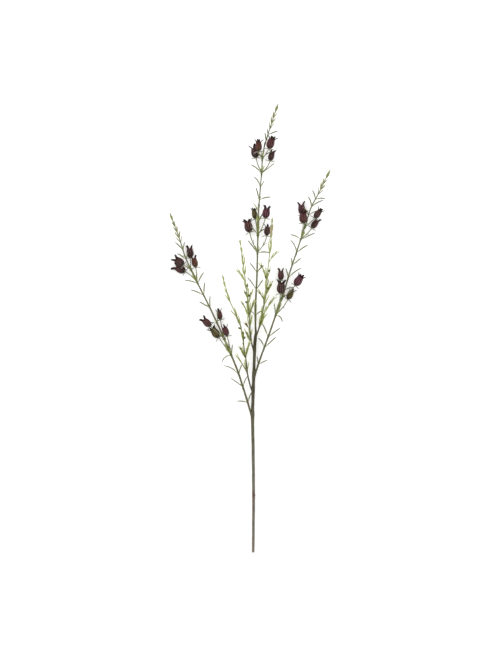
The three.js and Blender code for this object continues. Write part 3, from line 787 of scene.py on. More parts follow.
# Height of each leaf scar, and where it is round the stalk in radians
oldScars = [(46, 1.2), (87, -2.2), (171, 0.4), (212, 2.6), (249, -0.9), (276, 1.7), (322, -2.7), (341, 0.6)]
twigStub = {
    "height": 125, "turn": -25, "length": 4.6, "radius": 1.1, "rootShare": 1.5, "lean": 0.5, "relief": 0.08,
    "sides": 12, "rings": 6,
}


def barkRidges(angle, share):
    height = share * stalkHeight
    grooves = np.cos(barkRelief["grooves"] * angle + barkRelief["twist"] * share)
    uneven = 0.6 + 0.4 * np.sin(31 * share)
    wander = np.sin(3 * angle + 17 * share) * np.sin(23 * share + 1) + 0.6 * np.sin(5 * angle - 61 * share)
    found = barkRelief["grooveDepth"] * grooves * uneven + barkRelief["lumps"] * wander
    found = found * np.clip((1 - share) / barkRelief["fadesOver"], barkRelief["fadesTo"], 1)
    along, around = barkRelief["scarReach"]
    for scarHeight, scarAngle in oldScars:
        turn = np.angle(np.exp(1j * (angle - scarAngle)))
        away = ((height - scarHeight) / along) ** 2 + (turn / around) ** 2
        found = found + barkRelief["scar"] * np.exp(-away)
    return found


def growStub(route):
    station = stationOn(route, route.shareAt(twigStub["height"]), stalk["foot"] * mm)
    heading = unit(outwardAt(station, twigStub["turn"]) + station["forward"] * twigStub["lean"])
    line = Route([station["point"], station["point"] + heading * twigStub["length"] * mm])

    def radiusAt(share):
        return twigStub["radius"] * mm * mixed((twigStub["rootShare"], 1), share)

    def ridges(angle, share):
        return twigStub["relief"] * np.cos(3 * angle + 4 * share)

    return stemTube(line, radiusAt, twigStub["sides"], twigStub["rings"], ridges)


def buildStalk():
    route = smoothRoute([placed(point) for point in stalk["route"]])
    shape = stemTube(
        route, lambda share: stalkRadius(share, route), stalk["sides"], stalk["rings"], barkRidges)
    corners = cornersOf(shape)
    corners[:, 2] = np.maximum(corners[:, 2], 0)  # nothing goes under the floor
    moveCorners(shape, corners)
    edit(shape)
    cutBefore = placed((0, stalk["cutReach"], 0))[1]
    choose(shape, "FACE", lambda face: len(face.verts) > 4 and face.calc_center_median().y < cutBefore)
    bpy.ops.mesh.inset(thickness=stalk["cutRim"] * mm)
    bpy.ops.mesh.extrude_region_move(TRANSFORM_OT_translate={"value": (0, stalk["cutDepth"] * mm, 0)})
    bpy.ops.object.mode_set(mode="OBJECT")
    whole = joinAs("mainStalk", [shape, growStub(route)])
    finishPiece(whole, ["main_stalk"], "bark", paints["bark"], paints["cutWood"])
    for face in whole.data.polygons:
        if face.center.y < cutBefore and abs(face.normal.y) > 0.8:
            face.material_index = 1


buildStalk()
print("main stalk grown")

# The leaf that all leaves are copied from, along Y and face down, with sides folded back and a channel along
# its middle. For each of its rows, how far along it is and how broad.
leafForm = {
    "columns": 4,
    "rows": [(0, 0.5), (0.12, 0.82), (0.34, 1), (0.62, 1), (0.84, 0.88), (0.955, 0.6), (1, 0.16)],
    "channel": 0.1, "rolled": 0.28, "thickness": 0.15, "slender": 8, "aside": 10,
}


def modelLeaf():
    clear()
    form = leafForm
    last = len(form["rows"]) - 1
    bpy.ops.mesh.primitive_grid_add(
        x_subdivisions=form["columns"], y_subdivisions=last, size=1, location=(0, 0.5, 0))
    bpy.ops.object.transform_apply(location=True)
    leaf = bpy.context.object
    leaf.name = "unitLeaf"
    edit(leaf)
    choose(leaf, "VERT", lambda corner: abs(corner.co.x) < 0.01)
    bpy.ops.transform.translate(value=(0, 0, form["channel"]))
    choose(leaf, "VERT", lambda corner: abs(corner.co.x) > 0.49)
    bpy.ops.transform.translate(value=(0, 0, form["rolled"]))
    for row, (place, breadth) in enumerate(form["rows"]):  # each row is set aside once it is done
        even = row / last
        choose(leaf, "VERT", lambda corner: abs(corner.co.y - even) < 0.01)
        bpy.ops.transform.resize(value=(breadth, 1, breadth), center_override=(0, even, 0))
        bpy.ops.transform.translate(value=(0, place - even + form["aside"], 0))
    bpy.ops.mesh.select_all(action="SELECT")
    bpy.ops.transform.translate(value=(0, -form["aside"], 0))
    bpy.ops.transform.resize(value=(1, form["slender"], 1), center_override=(0, 0, 0))
    bpy.ops.object.mode_set(mode="OBJECT")
    applyModifier(leaf, "SOLIDIFY", thickness=form["thickness"], offset=0)
    corners = cornersOf(leaf)
    corners[:, 1] = np.clip(corners[:, 1] / form["slender"], 0, 1)
    moveCorners(leaf, corners)
    return leaf


unitLeaf = modelLeaf()
leafShape = {"width": 2.55, "foldAt": 0.5, "rootAt": 0.5, "fullSize": 17, "slimmest": 0.7, "floorGap": 1.2}
leafVariety = {"length": 0.36, "leaving": 12, "ending": 34, "turn": 44, "roll": 38, "tints": (0.35, 0.75)}


# A copy of the leaf that leaves a stem at one angle and bends out to another, and twists on its way until its
# upper face is to the light
def growLeaf(station, turn, length, leaving, ending, tint, widthShare=1.0):
    forward = station["forward"]
    outward = outwardAt(station, turn)

    def heading(angle):
        return forward * math.cos(math.radians(angle)) + outward * math.sin(math.radians(angle))

    root = station["point"] + outward * leafShape["rootAt"] * station["radius"]
    fold = root + heading(leaving) * length * mm * leafShape["foldAt"]
    tip = fold + heading(ending) * length * mm * (1 - leafShape["foldAt"])
    fold[2] = max(fold[2], leafShape["floorGap"] * mm)
    tip[2] = max(tip[2], leafShape["floorGap"] * mm)
    size = min(max(length / leafShape["fullSize"], leafShape["slimmest"]), 1)
    across = np.cross(forward, outward)
    level = unit(np.cross(up, heading(ending)))
    level = level if level @ across > -0.5 else -level
    roll = math.radians(leafVariety["roll"]) * mixed((-1, 1), turn * 7.3 % 1)
    facing = level * math.cos(roll) + np.cross(heading(ending), level) * math.sin(roll)
    leaf = copyOf(unitLeaf)
    width = size * widthShare * leafShape["width"] * station["leafWidth"] * mm
    layAlong(leaf, archRoute(root, fold, tip), across, width, width, facing)
    mark(leaf, "tint", tint)
    return leaf


# The leaf pairs along a stem, and two more that stand up and down between pairs that are far apart
standingLeaf = {
    "gap": 26, "lengthShare": 0.55, "leaving": 12, "bend": 4, "turn": 70, "width": 0.6, "tints": (0.5, 0.9),
}
# Where the photograph shows a pair: the length of its right leaf and of its left one, and the angles at which
# each leaves the stem and ends
seenLook = {"longer": 1.2, "turnShare": 0.3}
seenLeaves = {
    "leftBranch": {
        333: ((20, 30, 48), (19, 58, 78)), 367: ((21, 28, 52), (27, 28, 46)),
        396: ((18, 30, 50), (32, 22, 62)), 437: ((19, 20, 36), (25, 75, 140)),
        507: ((22, 20, 30), (26, 50, 84)), 541: ((22, 20, 32), (22, 28, 40)),
        569: ((23, 28, 34), (26, 30, 52)), 595: ((23, 48, 64), (24, 40, 62)),
        648: ((13, 28, 40), (19, 26, 44)), 669: ((14, 24, 32), (19, 20, 38)),
    },
    "centreBranch": {
        582: ((21, 24, 38), (27, 30, 50)), 619: ((18, 26, 60), (21, 30, 46)),
        662: ((24, 74, 108), (28, 36, 42)), 731: ((20, 22, 40), (13, 10, 6)),
        778: ((22, 56, 88), (23, 15, 22)), 806: ((13, 18, 30), (24, 12, 62)),
        836: ((30, 44, 50), (26, 36, 74)), 908: ((18, 40, 60), (14, 20, 30)),
        921: ((19, 48, 58), (11, 20, 26)),
    },
    "rightBranch": {
        417: ((18, 42, 50), (14, 20, 30)), 454: ((29, 26, 28), (21, 34, 74)),
        477: ((27, 28, 38), (26, 36, 50)), 525: ((22, 80, 160), (21, 22, 32)),
        608: ((30, 26, 50), (17, 24, 40)), 635: ((20, 30, 36), (13, 18, 24)),
        663: ((25, 32, 44), (27, 18, 70)), 691: ((29, 42, 50), (23, 60, 110)),
        763: ((25, 20, 54), (20, 22, 62)),
    },
}


def pairedLeaves(route, stem, roll):
    found = []
    pairs = stem["pairs"]
    seen = seenLeaves.get(stem["name"], {})
    for height, following in zip(pairs, [*pairs[1:], None]):
        station = stationAt(route, stem, height)
        for side in (0, 180):
            length = stem["leafLength"] * (1 + spread(roll, leafVariety["length"]))
            leaving = stem["leaving"] + spread(roll, leafVariety["leaving"])
            ending = stem["ending"] + spread(roll, leafVariety["ending"])
            turn = side + spread(roll, leafVariety["turn"])
            if height in seen:
                length, leaving, ending = seen[height][side > 0]
                length *= seenLook["longer"]
                turn = side + (turn - side) * seenLook["turnShare"]
            tint = mixed(leafVariety["tints"], turn % 1)
            found.append(growLeaf(station, turn, length, leaving, ending, tint))
        if following and following - height > standingLeaf["gap"]:
            between = stationAt(route, stem, (height + following) / 2)
            for side in (90, 270):
                longest = standingLeaf["lengthShare"] * stem["leafLength"]
                length = longest * (1 + spread(roll, leafVariety["length"]))
                leaving = standingLeaf["leaving"] + 0.5 * spread(roll, leafVariety["leaving"])
                turn = side + spread(roll, standingLeaf["turn"])
                ending = leaving + standingLeaf["bend"]
                tint = mixed(standingLeaf["tints"], turn % 1)
                found.append(growLeaf(between, turn, length, leaving, ending, tint, standingLeaf["width"]))
    return found


# Short leaves in the axils of the pairs
youngLeaf = {
    "seed": 900, "turns": (70, 130, 250, 310), "turnSpread": 50, "chance": 0.4, "lengths": (4.5, 8.5),
    "above": (1, 3), "leaving": 20, "ending": 30, "endingSpread": 20, "width": 0.7,
}


def youngLeaves(route, stem):
    roll = dice(stem["seed"] + youngLeaf["seed"])
    found = []
    for height in stem["pairs"]:
        for turn in youngLeaf["turns"]:
            station = stationAt(route, stem, height + mixed(youngLeaf["above"], roll()))
            length = mixed(youngLeaf["lengths"], roll())
            turn = turn + spread(roll, youngLeaf["turnSpread"])
            leaving = youngLeaf["leaving"]
            ending = youngLeaf["ending"] + spread(roll, youngLeaf["endingSpread"])
            if roll() < youngLeaf["chance"]:
                found.append(growLeaf(station, turn, length, leaving, ending, roll(), youngLeaf["width"]))
    return found


# Longer yellow-green leaves that stand close to the branch at the two nodes of a cluster
nodeLeaf = {
    "seed": 1300, "turns": (60, 200, 345), "counts": (3, 2), "turnSpread": 30, "lengths": (11, 18),
    "above": (0, 3), "leaving": 13, "leavingSpread": 8, "ending": 22, "endingSpread": 16, "width": 0.72,
}


def nodeLeaves(route, stem):
    roll = dice(stem["seed"] + nodeLeaf["seed"])
    found = []
    for cluster in clustersOn(stem):
        for node, count in zip(cluster["nodes"], nodeLeaf["counts"]):
            for turn in nodeLeaf["turns"][:count]:
                station = stationAt(route, stem, node + mixed(nodeLeaf["above"], roll()))
                length = mixed(nodeLeaf["lengths"], roll())
                leaving = nodeLeaf["leaving"] + spread(roll, nodeLeaf["leavingSpread"])
                ending = nodeLeaf["ending"] + spread(roll, nodeLeaf["endingSpread"])
                turn = turn + spread(roll, nodeLeaf["turnSpread"])
                found.append(growLeaf(station, turn, length, leaving, ending, roll(), nodeLeaf["width"]))
    return found


# The closed bunch of small leaves at the very end of a stem
tipLeaf = {
    "seed": 300, "below": 8, "lengths": (10, 8.5, 7), "turnStep": 60, "turnSpread": 30, "leaving": (10, 14),
    "ending": 2, "width": 0.85,
}


def tipLeaves(route, stem):
    roll = dice(stem["seed"] + tipLeaf["seed"])
    station = stationAt(route, stem, route.heightAt(1) - tipLeaf["below"])
    found = []
    for number, length in enumerate(tipLeaf["lengths"]):
        for side in (0, 180):
            turn = side + tipLeaf["turnStep"] * number + spread(roll, tipLeaf["turnSpread"])
            leaving = mixed(tipLeaf["leaving"], roll())
            ending = tipLeaf["ending"]
            found.append(growLeaf(station, turn, length, leaving, ending, roll(), tipLeaf["width"]))
    return found


# The closer-set leaves of a stem's last stretch, in pairs that turn by a quarter, with slimmer ones between
spikeLeaf = {
    "lengthShares": (0.6, 0.36), "leaving": (24, 8), "leavingSpread": 5, "bend": 2, "turnSpread": 24,
    "width": 0.78, "tints": (0.6, 1), "slimWidth": 0.6, "slimTint": 0.9, "stops": 0.85,
}


def spikeLeaves(route, stem, roll):
    top = route.heightAt(1)
    found = []
    height, quarter = stem["spikeFrom"], 0
    while height < top - spikeLeaf["stops"]:
        share = (height - stem["spikeFrom"]) / (top - stem["spikeFrom"])
        length = stem["leafLength"] * mixed(spikeLeaf["lengthShares"], share)
        station = stationAt(route, stem, height)
        between = stationAt(route, stem, min(height + stem["spikeStep"] / 2, top - 1))
        for side in (0, 180):
            leaving = mixed(spikeLeaf["leaving"], share) + spread(roll, spikeLeaf["leavingSpread"])
            leaving = stem["spikeOpening"] * leaving
            ending = leaving + spikeLeaf["bend"]
            turn = quarter + side + spread(roll, spikeLeaf["turnSpread"])
            tint, slimTint = mixed(spikeLeaf["tints"], share), spikeLeaf["slimTint"]
            found.append(growLeaf(station, turn, length, leaving, ending, tint, spikeLeaf["width"]))
            turn += 90
            found.append(growLeaf(between, turn, length, leaving, ending, slimTint, spikeLeaf["slimWidth"]))
        height += stem["spikeStep"]
        quarter += 90
    return found


# Longer green leaves that lie close along a stem, each with its height, turn, length, angles and breadth
closeLeaves = {
    "leftBranch": [
        (441, 20, 22, 8, 3, 0.9), (444, 165, 20, 8, 3, 0.9), (452, 80, 20, 6, 2, 0.8),
        (458, 200, 18, 6, 2, 0.8), (470, 15, 16, 8, 4, 0.8), (600, 170, 18, 8, 4, 0.8),
        (606, 30, 16, 7, 3, 0.8), (622, 100, 14, 7, 3, 0.8),
    ],
    "centreBranch": [
        (505, 15, 28, 4, 1, 0.8), (520, 170, 26, 4, 1, 0.8), (523, 20, 26, 4, 1, 0.75),
        (534, 160, 24, 4, 1, 0.7), (704, 20, 22, 6, 2, 0.7), (714, 165, 28, 6, 2, 1.05),
        (720, 35, 22, 6, 3, 0.9), (752, 180, 22, 22, 46, 0.95), (874, 10, 16, 6, 3, 0.7),
    ],
    "rightBranch": [
        (528, 165, 25, 8, 3, 0.9), (530, 20, 23, 8, 3, 0.9), (537, 90, 20, 5, 2, 0.9),
        (545, 190, 20, 6, 3, 0.8), (556, 20, 18, 7, 4, 0.8), (694, 20, 18, 8, 4, 0.8),
        (702, 160, 18, 7, 3, 0.8), (712, 80, 16, 6, 3, 0.7),
    ],
    "outerSprig": [(466, 20, 20, 6, 2, 0.9), (468, 160, 18, 6, 2, 0.9), (476, 80, 18, 5, 2, 0.9)],
    "innerSprig": [
        (506, 20, 22, 12, 6, 0.9), (516, 165, 20, 12, 6, 0.85), (574, 20, 22, 12, 6, 0.85),
        (580, 170, 20, 12, 6, 0.85), (534, 30, 18, 6, 2, 0.9), (541, 200, 16, 6, 2, 0.9),
        (556, 90, 16, 5, 2, 0.9),
    ],
    "rightSprig": [
        (552, 150, 22, 12, 6, 0.9), (560, 200, 20, 12, 6, 0.85), (578, 160, 22, 14, 8, 0.9),
        (586, 20, 20, 12, 6, 0.85), (598, 170, 20, 12, 6, 0.85), (496, 10, 30, 6, 1, 1.05),
        (500, 165, 27, 6, 1, 1), (505, 60, 28, 4, 1, 1), (511, 350, 24, 7, 3, 0.9),
        (517, 120, 22, 5, 2, 0.9),
    ],
}
# Broader ones that have dried to tan
dryLeaves = {
    "leftBranch": [(706, 40, 13, 18, 12, 0.8)],
    "centreBranch": [(955, 165, 15, 20, 4, 0.9), (930, 20, 12, 18, 14, 0.7)],
    "rightBranch": [(806, 200, 13, 18, 12, 0.8)],
    "rightSprig": [(697, 130, 21, 10, 4, 1.3), (703, 30, 20, 9, 3, 1.2), (709, 250, 18, 9, 3, 1.2)],
}
listedTints = {"close": (0, 0.3, 0.6), "dry": (0.8,)}


def listedLeaves(route, stem, listed, tints):
    found = []
    for number, (height, turn, length, leaving, ending, width) in enumerate(listed.get(stem["name"], [])):
        tint = tints[number % len(tints)]
        found.append(growLeaf(stationAt(route, stem, height), turn, length, leaving, ending, tint, width))
    return found


def shootLeaves(route, stem):
    close = youngLeaves(route, stem) + nodeLeaves(route, stem)
    return close + listedLeaves(route, stem, closeLeaves, listedTints["close"])


def driedLeaves(route, stem):
    return listedLeaves(route, stem, dryLeaves, listedTints["dry"])


# The bud that all buds are copied from, along Y with four scales round it
budForm = {
    "segments": 16, "rings": 12, "scales": 4, "scaleRelief": 0.09,
    "profile": [(0, 0.45), (0.2, 0.8), (0.42, 1), (0.7, 0.8), (0.88, 0.42), (1, 0)],
}
bud = {
    "radius": 2.2, "length": 6.6, "middle": 0.45, "lean": 0.8,
    "neck": 3.2, "neckRadius": 0.7, "neckSides": 8, "neckRings": 3, "neckGreen": 0.3,
}


def modelBud():
    clear()
    bpy.ops.mesh.primitive_uv_sphere_add(
        segments=budForm["segments"], ring_count=budForm["rings"], radius=1, rotation=(-math.pi / 2, 0, 0))
    bpy.ops.object.transform_apply(rotation=True)
    shape = bpy.context.object
    shape.name = "unitBud"
    corners = cornersOf(shape)
    along = np.arccos(np.clip(-corners[:, 1], -1, 1)) / math.pi
    angle = np.arctan2(corners[:, 2], corners[:, 0])
    scales = 1 + budForm["scaleRelief"] * np.cos(budForm["scales"] * angle) * along
    radius = np.interp(along, *zip(*budForm["profile"])) * scales
    radius[along < 0.001] = 0
    moveCorners(shape, np.stack([np.cos(angle) * radius, along, np.sin(angle) * radius], axis=1))
    return shape


unitBud = modelBud()


def growBud(middle, heading, across):
    shape = copyOf(unitBud)
    half = heading * (bud["length"] * mm) * 0.5
    radius = bud["radius"] * mm
    layAlong(shape, Route([middle - half, middle, middle + half]), across, radius, radius)
    return shape


# A green stem swells at its leaf pairs and at the nodes of its clusters, and has a collar at its root. For
# each, by how much and over what reach.
swelling = {"pair": (0.35, 2.6), "lower": (0.7, 4), "upper": (1.7, 3.8), "root": (0.4, 3.2)}


def swollenRadius(route, stem, share):
    height = route.heightAt(share)
    places = [("pair", pair) for pair in stem["pairs"]]
    for cluster in clustersOn(stem):
        places += zip(("lower", "upper"), cluster["nodes"])
    extra = np.zeros_like(height)
    for kind, place in places:
        swell, reach = swelling[kind]
        extra += swell * hump(height - place, reach)
    swell, reach = swelling["root"]
    away = share * route.length / (reach * mm)
    collar = swell * away * np.exp(1 - away)
    return radiusOf(stem, share) + (extra + collar) * mm, extra


def stemRidges(angle, share):
    ridges = 0.05 * np.cos(5 * angle + 9 * share) + 0.03 * np.sin(3 * angle - 40 * share)
    return ridges + 0.02 * np.sin(130 * share)


def growStem(route, stem):
    shape = stemTube(
        route, lambda share: swollenRadius(route, stem, share)[0], stem["sides"], stem["rings"], stemRidges)
    share = np.interp(cornersOf(shape)[:, 1], route.points[:, 1], route.along)
    mark(shape, "swollen", np.clip(swollenRadius(route, stem, share)[1], 0, 1))
    mark(shape, "woody", 1 / (1 + (share * route.length / (stem["woodyReach"] * mm)) ** 4))
    return shape


# How a bloom stands: its foot, its axis, and the turn that carries a shape modelled along Z there
def poseOf(bloom):
    foot, aim, _, turn, _ = bloom
    axis = Vector(aim).normalized()
    tilt = Vector((0, 1, 0)).rotation_difference(axis).to_matrix()
    turned = tilt @ Matrix.Rotation(math.radians(turn), 3, "Y") @ Matrix.Rotation(-math.pi / 2, 3, "X")
    return placed(foot), np.array(axis), np.array(turned)


bloomLength = {"base": 12, "perGirth": 0.62}


def bloomHeight(girth):
    return bloomLength["base"] + bloomLength["perGirth"] * girth


# A flower stalk bows out of the stem and flares into a cup under the bloom's foot. A long one has a knot,
# greener than the rest.
pedicel = {
    "seed": 700, "radius": 1.05, "sides": 10, "rings": 22, "steps": 30, "bow": 0.45, "gap": 0.3,
    "cupRadius": 2.3, "cupLength": 3.6, "rootSwell": 0.5, "rootReach": 2.5, "rootGreen": 0.5, "rootFade": 4,
    "knot": 0.45, "knotSwell": 0.3, "knotReach": 1.6, "knotGreen": 0.6, "greenReach": 0.08,
}
# A pair of small leaves at the knot, and two bracts beside the cup
stalkLeaf = {
    "lengths": (6, 10), "turnSpread": 40, "leaving": 26, "ending": 18, "width": 0.62, "chance": 0.5,
}
bract = {
    "reach": 11, "rises": (-4.5, 3.5), "below": 2.0, "arch": 1.2, "flattens": 0.5, "width": 0.62,
    "depth": 1.3, "sway": 0.5, "levelTurn": 25,
}
# Four sepals that hold the urn. Out from the bloom's axis, each starts at a share of the cup's radius, and
# bends and ends at shares of the girth.
sepal = {
    "width": 0.85, "depth": 1.2, "below": 1.1, "length": 0.16, "clearance": 0.12, "out": (0.6, 0.31, 0.41),
    "tint": 0.2,
}


# A copy of the leaf along a route of its own
def layLeaf(form, line, across, tint):
    leaf = copyOf(unitLeaf)
    layAlong(leaf, line, across, form["width"] * leafShape["width"] * mm, form["depth"] * mm)
    mark(leaf, "tint", tint)
    return leaf


def growPedicel(line, long):
    root, cupTop = line.points[0], line.points[-1]
    cupShare = pedicel["cupLength"] * mm / line.length

    def radiusAt(share):
        flare = np.clip((share - 1 + cupShare) / cupShare, 0, 1)
        flare = flare * flare * (3 - 2 * flare)
        foot = pedicel["rootSwell"] * np.exp(-share * line.length / (pedicel["rootReach"] * mm))
        away = (share - pedicel["knot"]) * line.length
        knot = long * pedicel["knotSwell"] * hump(away, pedicel["knotReach"] * mm)
        return (pedicel["radius"] + foot + knot + (pedicel["cupRadius"] - pedicel["radius"]) * flare) * mm

    shape = stemTube(line, radiusAt, pedicel["sides"], pedicel["rings"])
    share = np.linalg.norm(cornersOf(shape) - root, axis=1) / np.linalg.norm(cupTop - root)
    knotGreen = pedicel["knotGreen"] * long * hump(share - pedicel["knot"], pedicel["greenReach"])
    mark(shape, "swollen", np.clip(1 - share * pedicel["rootFade"], 0, pedicel["rootGreen"]) + knotGreen)
    return shape


def growBracts(line, axis, bloomTurn, roll):
    station = stationOn(line, 1, pedicel["cupRadius"] * mm)
    sideways = outwardAt(station, bract["sway"] * (bloomTurn - bract["levelTurn"]))
    middle = line.points[-1] - axis * bract["below"] * mm
    found = []
    for side in (-1, 1):
        rise = mixed(bract["rises"], roll())
        tip = middle + sideways * side * bract["reach"] * mm + axis * rise * mm
        tip[2] = max(tip[2], leafShape["floorGap"] * mm)
        elbow = (middle + tip) / 2 + axis * (bract["arch"] - bract["flattens"] * rise) * mm
        level = unit(np.cross(up, tip - middle))
        found.append(layLeaf(bract, archRoute(middle, elbow, tip), level, roll()))
    return found


def growStalkLeaves(line, roll):
    knot = stationOn(line, pedicel["knot"], pedicel["radius"] * mm)
    leaving, ending = stalkLeaf["leaving"], stalkLeaf["ending"]
    found = []
    for side in (0, 180):
        length = mixed(stalkLeaf["lengths"], roll())
        turn = side + spread(roll, stalkLeaf["turnSpread"])
        if roll() < stalkLeaf["chance"]:
            found.append(growLeaf(knot, turn, length, leaving, ending, roll(), stalkLeaf["width"]))
    return found


def growSepals(foot, axis, turned, girth):
    height = bloomHeight(girth) * mm
    rootOut, cornerOut, tipOut = sepal["out"]
    found = []
    for quarter in range(4):
        angle = quarter * math.pi / 2
        outward = turned @ np.array([math.cos(angle), math.sin(angle), 0])
        root = foot - axis * sepal["below"] * mm + outward * rootOut * pedicel["cupRadius"] * mm
        corner = foot - axis * sepal["clearance"] * mm + outward * cornerOut * girth * mm
        tip = foot + axis * sepal["length"] * height + outward * (tipOut * girth + sepal["clearance"]) * mm
        line = archRoute(root, corner, tip)
        found.append(layLeaf(sepal, line, np.cross(axis, outward), sepal["tint"]))
    return found


def growFlowerStalk(route, node, bloom, roll, long):
    foot, axis, turned = poseOf(bloom)
    root = route.at(route.shareAt(node))
    cupTop = foot - axis * pedicel["gap"] * mm
    elbow = cupTop - axis * pedicel["bow"] * np.linalg.norm(cupTop - root)
    line = archRoute(root, elbow, cupTop, pedicel["steps"])
    shape = growPedicel(line, long)
    bracts = growBracts(line, axis, bloom[3], roll)
    if long:
        bracts += growStalkLeaves(line, roll)
    return [shape], bracts, growSepals(foot, axis, turned, bloom[2])


# One finished piece for each kind of part that a stem has
def finishParts(stem, slotName, parts):
    for kind, (shapes, paint) in parts.items():
        if shapes:
            finishPiece(joinAs(stem["name"] + kind, shapes), [stem["node"]], slotName, paints[paint])


def buildBranch(stem):
    route = smoothRoute([placed(point) for point in stem["route"]])
    roll = dice(stem["seed"])
    leaves = pairedLeaves(route, stem, roll)
    parts = {
        "Stem": ([growStem(route, stem)], "branchBark"),
        "Leaves": (leaves, "branchLeaf"),
        "SpikeLeaves": (spikeLeaves(route, stem, roll), "spikeLeaf"),
        "Shoots": (shootLeaves(route, stem) + tipLeaves(route, stem), "youngLeaf"),
        "DryLeaves": (driedLeaves(route, stem), "dryLeaf"),
        "FlowerStalks": ([], "flowerStalkSkin"),
        "Bracts": ([], "bract"),
        "Sepals": ([], "sepal"),
    }
    roll = dice(stem["seed"] + pedicel["seed"])
    for cluster in clustersOn(stem):
        for number, bloom in enumerate(cluster["blooms"]):  # two at each node, the first two on long stalks
            made = growFlowerStalk(route, cluster["nodes"][number // 2], bloom, roll, number < 2)
            for kind, shapes in zip(("FlowerStalks", "Bracts", "Sepals"), made):
                parts[kind][0].extend(shapes)
    finishParts(stem, "green_stem", parts)
    print(stem["name"], "grown:", len(leaves), "leaves")


for stem in branches:
    buildBranch(stem)

# Twigs of the sprigs, with leaf pairs, and with a bud or three last leaves at their ends. For each last leaf,
# its turn, its length as a share of the longest, its tint and its breadth.
twigForm = {
    "radius": 1.05, "rootSwell": 0.4, "rootFade": 8, "thins": 0.25, "elbow": 0.35, "sides": 8, "rings": 18,
    "steps": 24, "green": 0.1,
}
twigLeaf = {
    "lengthShare": 0.75, "turnStep": 50, "turnSpread": 40, "leaving": 11, "ending": 5, "width": 0.75,
    "tints": (0.4, 0.9),
}
endLeaf = {
    "along": 0.96, "lengthShare": 0.6, "leaving": 14, "ending": 16,
    "leaves": [(20, 1, 0.8, 1), (140, 0.8, 0.6, 0.85), (260, 0.8, 0.6, 0.85)],
}


def growTwigStem(line, twig, budShare):
    reach = 1 - budShare if twig["bud"] else 1
    short = Route(line.at(np.linspace(0, reach, twigForm["steps"])))

    def radiusAt(share):
        swell = twigForm["rootSwell"] * np.exp(-twigForm["rootFade"] * share)
        return (twigForm["radius"] + swell - twigForm["thins"] * share) * mm

    shape = stemTube(short, radiusAt, twigForm["sides"], twigForm["rings"])
    mark(shape, "swollen", twigForm["green"])
    mark(shape, "woody", twig.get("woody", 0))
    return shape


def growTwigLeaves(line, stem, twig, roll):
    length = twigLeaf["lengthShare"] * stem["leafLength"]
    found = []
    for number in range(twig["pairs"]):
        place = stationOn(line, (number + 1) / (twig["pairs"] + 1), twigForm["radius"] * mm)
        for side in (0, 180):
            leaving = twigLeaf["leaving"] + spread(roll, leafVariety["leaving"])
            turn = side + twigLeaf["turnStep"] * number + spread(roll, twigLeaf["turnSpread"])
            tint = mixed(twigLeaf["tints"], turn % 1)
            found.append(growLeaf(place, turn, length, leaving, twigLeaf["ending"], tint, twigLeaf["width"]))
    return found


def growEndLeaves(line, stem):
    place = stationOn(line, endLeaf["along"], twigForm["radius"] * mm)
    longest = endLeaf["lengthShare"] * stem["leafLength"]
    leaving, ending = endLeaf["leaving"], endLeaf["ending"]
    return [
        growLeaf(place, turn, share * longest, leaving, ending, tint, width)
        for turn, share, tint, width in endLeaf["leaves"]
    ]


def growTwig(route, stem, twig, roll):
    station = stationAt(route, stem, twig["from"])
    root = station["point"]
    end = root + np.array(twig["reach"]) * mm
    elbow = root + station["forward"] * twigForm["elbow"] * np.linalg.norm(end - root)
    line = archRoute(root, elbow, end, twigForm["steps"])
    budShare = bud["length"] * mm / line.length
    shape = growTwigStem(line, twig, budShare)
    leaves = growTwigLeaves(line, stem, twig, roll)
    if not twig["bud"]:
        return shape, leaves + growEndLeaves(line, stem), []
    across = stationOn(line, 1, 0)["right"]
    return shape, leaves, [growBud(line.at(1 - budShare / 2), line.heading(1), across)]


# A bud on a neck of its own beside a sprig
def growSideBud(station, turn):
    heading = unit(station["forward"] + outwardAt(station, turn) * bud["lean"])
    neckEnd = station["point"] + heading * bud["neck"] * mm
    line = Route([station["point"], neckEnd])
    neck = stemTube(line, lambda share: bud["neckRadius"] * mm, bud["neckSides"], bud["neckRings"])
    mark(neck, "swollen", bud["neckGreen"])
    return neck, growBud(neckEnd + heading * bud["length"] * mm * bud["middle"], heading, station["above"])


def buildSprig(stem):
    route = smoothRoute([placed(point) for point in stem["route"]])
    roll = dice(stem["seed"])
    leaves = pairedLeaves(route, stem, roll) + spikeLeaves(route, stem, roll) + tipLeaves(route, stem)
    stems = [growStem(route, stem)]
    buds, redBuds = [], []
    for twig in stem["twigs"]:
        twigStem, twigLeaves, twigBuds = growTwig(route, stem, twig, roll)
        stems.append(twigStem)
        leaves += twigLeaves
        (redBuds if "red" in twig else buds).extend(twigBuds)
    for height, turn in stem["buds"]:
        neck, sideBud = growSideBud(stationAt(route, stem, height), turn)
        stems.append(neck)
        buds.append(sideBud)
    finishParts(stem, "young_green", {
        "Stem": (stems, "sprigBark"),
        "Leaves": (leaves, "sprigLeaf"),
        "Buds": (buds, "bud"),
        "RedBud": (redBuds, "redBud"),
        "Shoots": (shootLeaves(route, stem), "youngLeaf"),
        "DryLeaves": (driedLeaves(route, stem), "dryLeaf"),
    })
    print(stem["name"], "grown:", len(leaves), "leaves,", len(buds), "buds")


for stem in sprigs:
    buildSprig(stem)

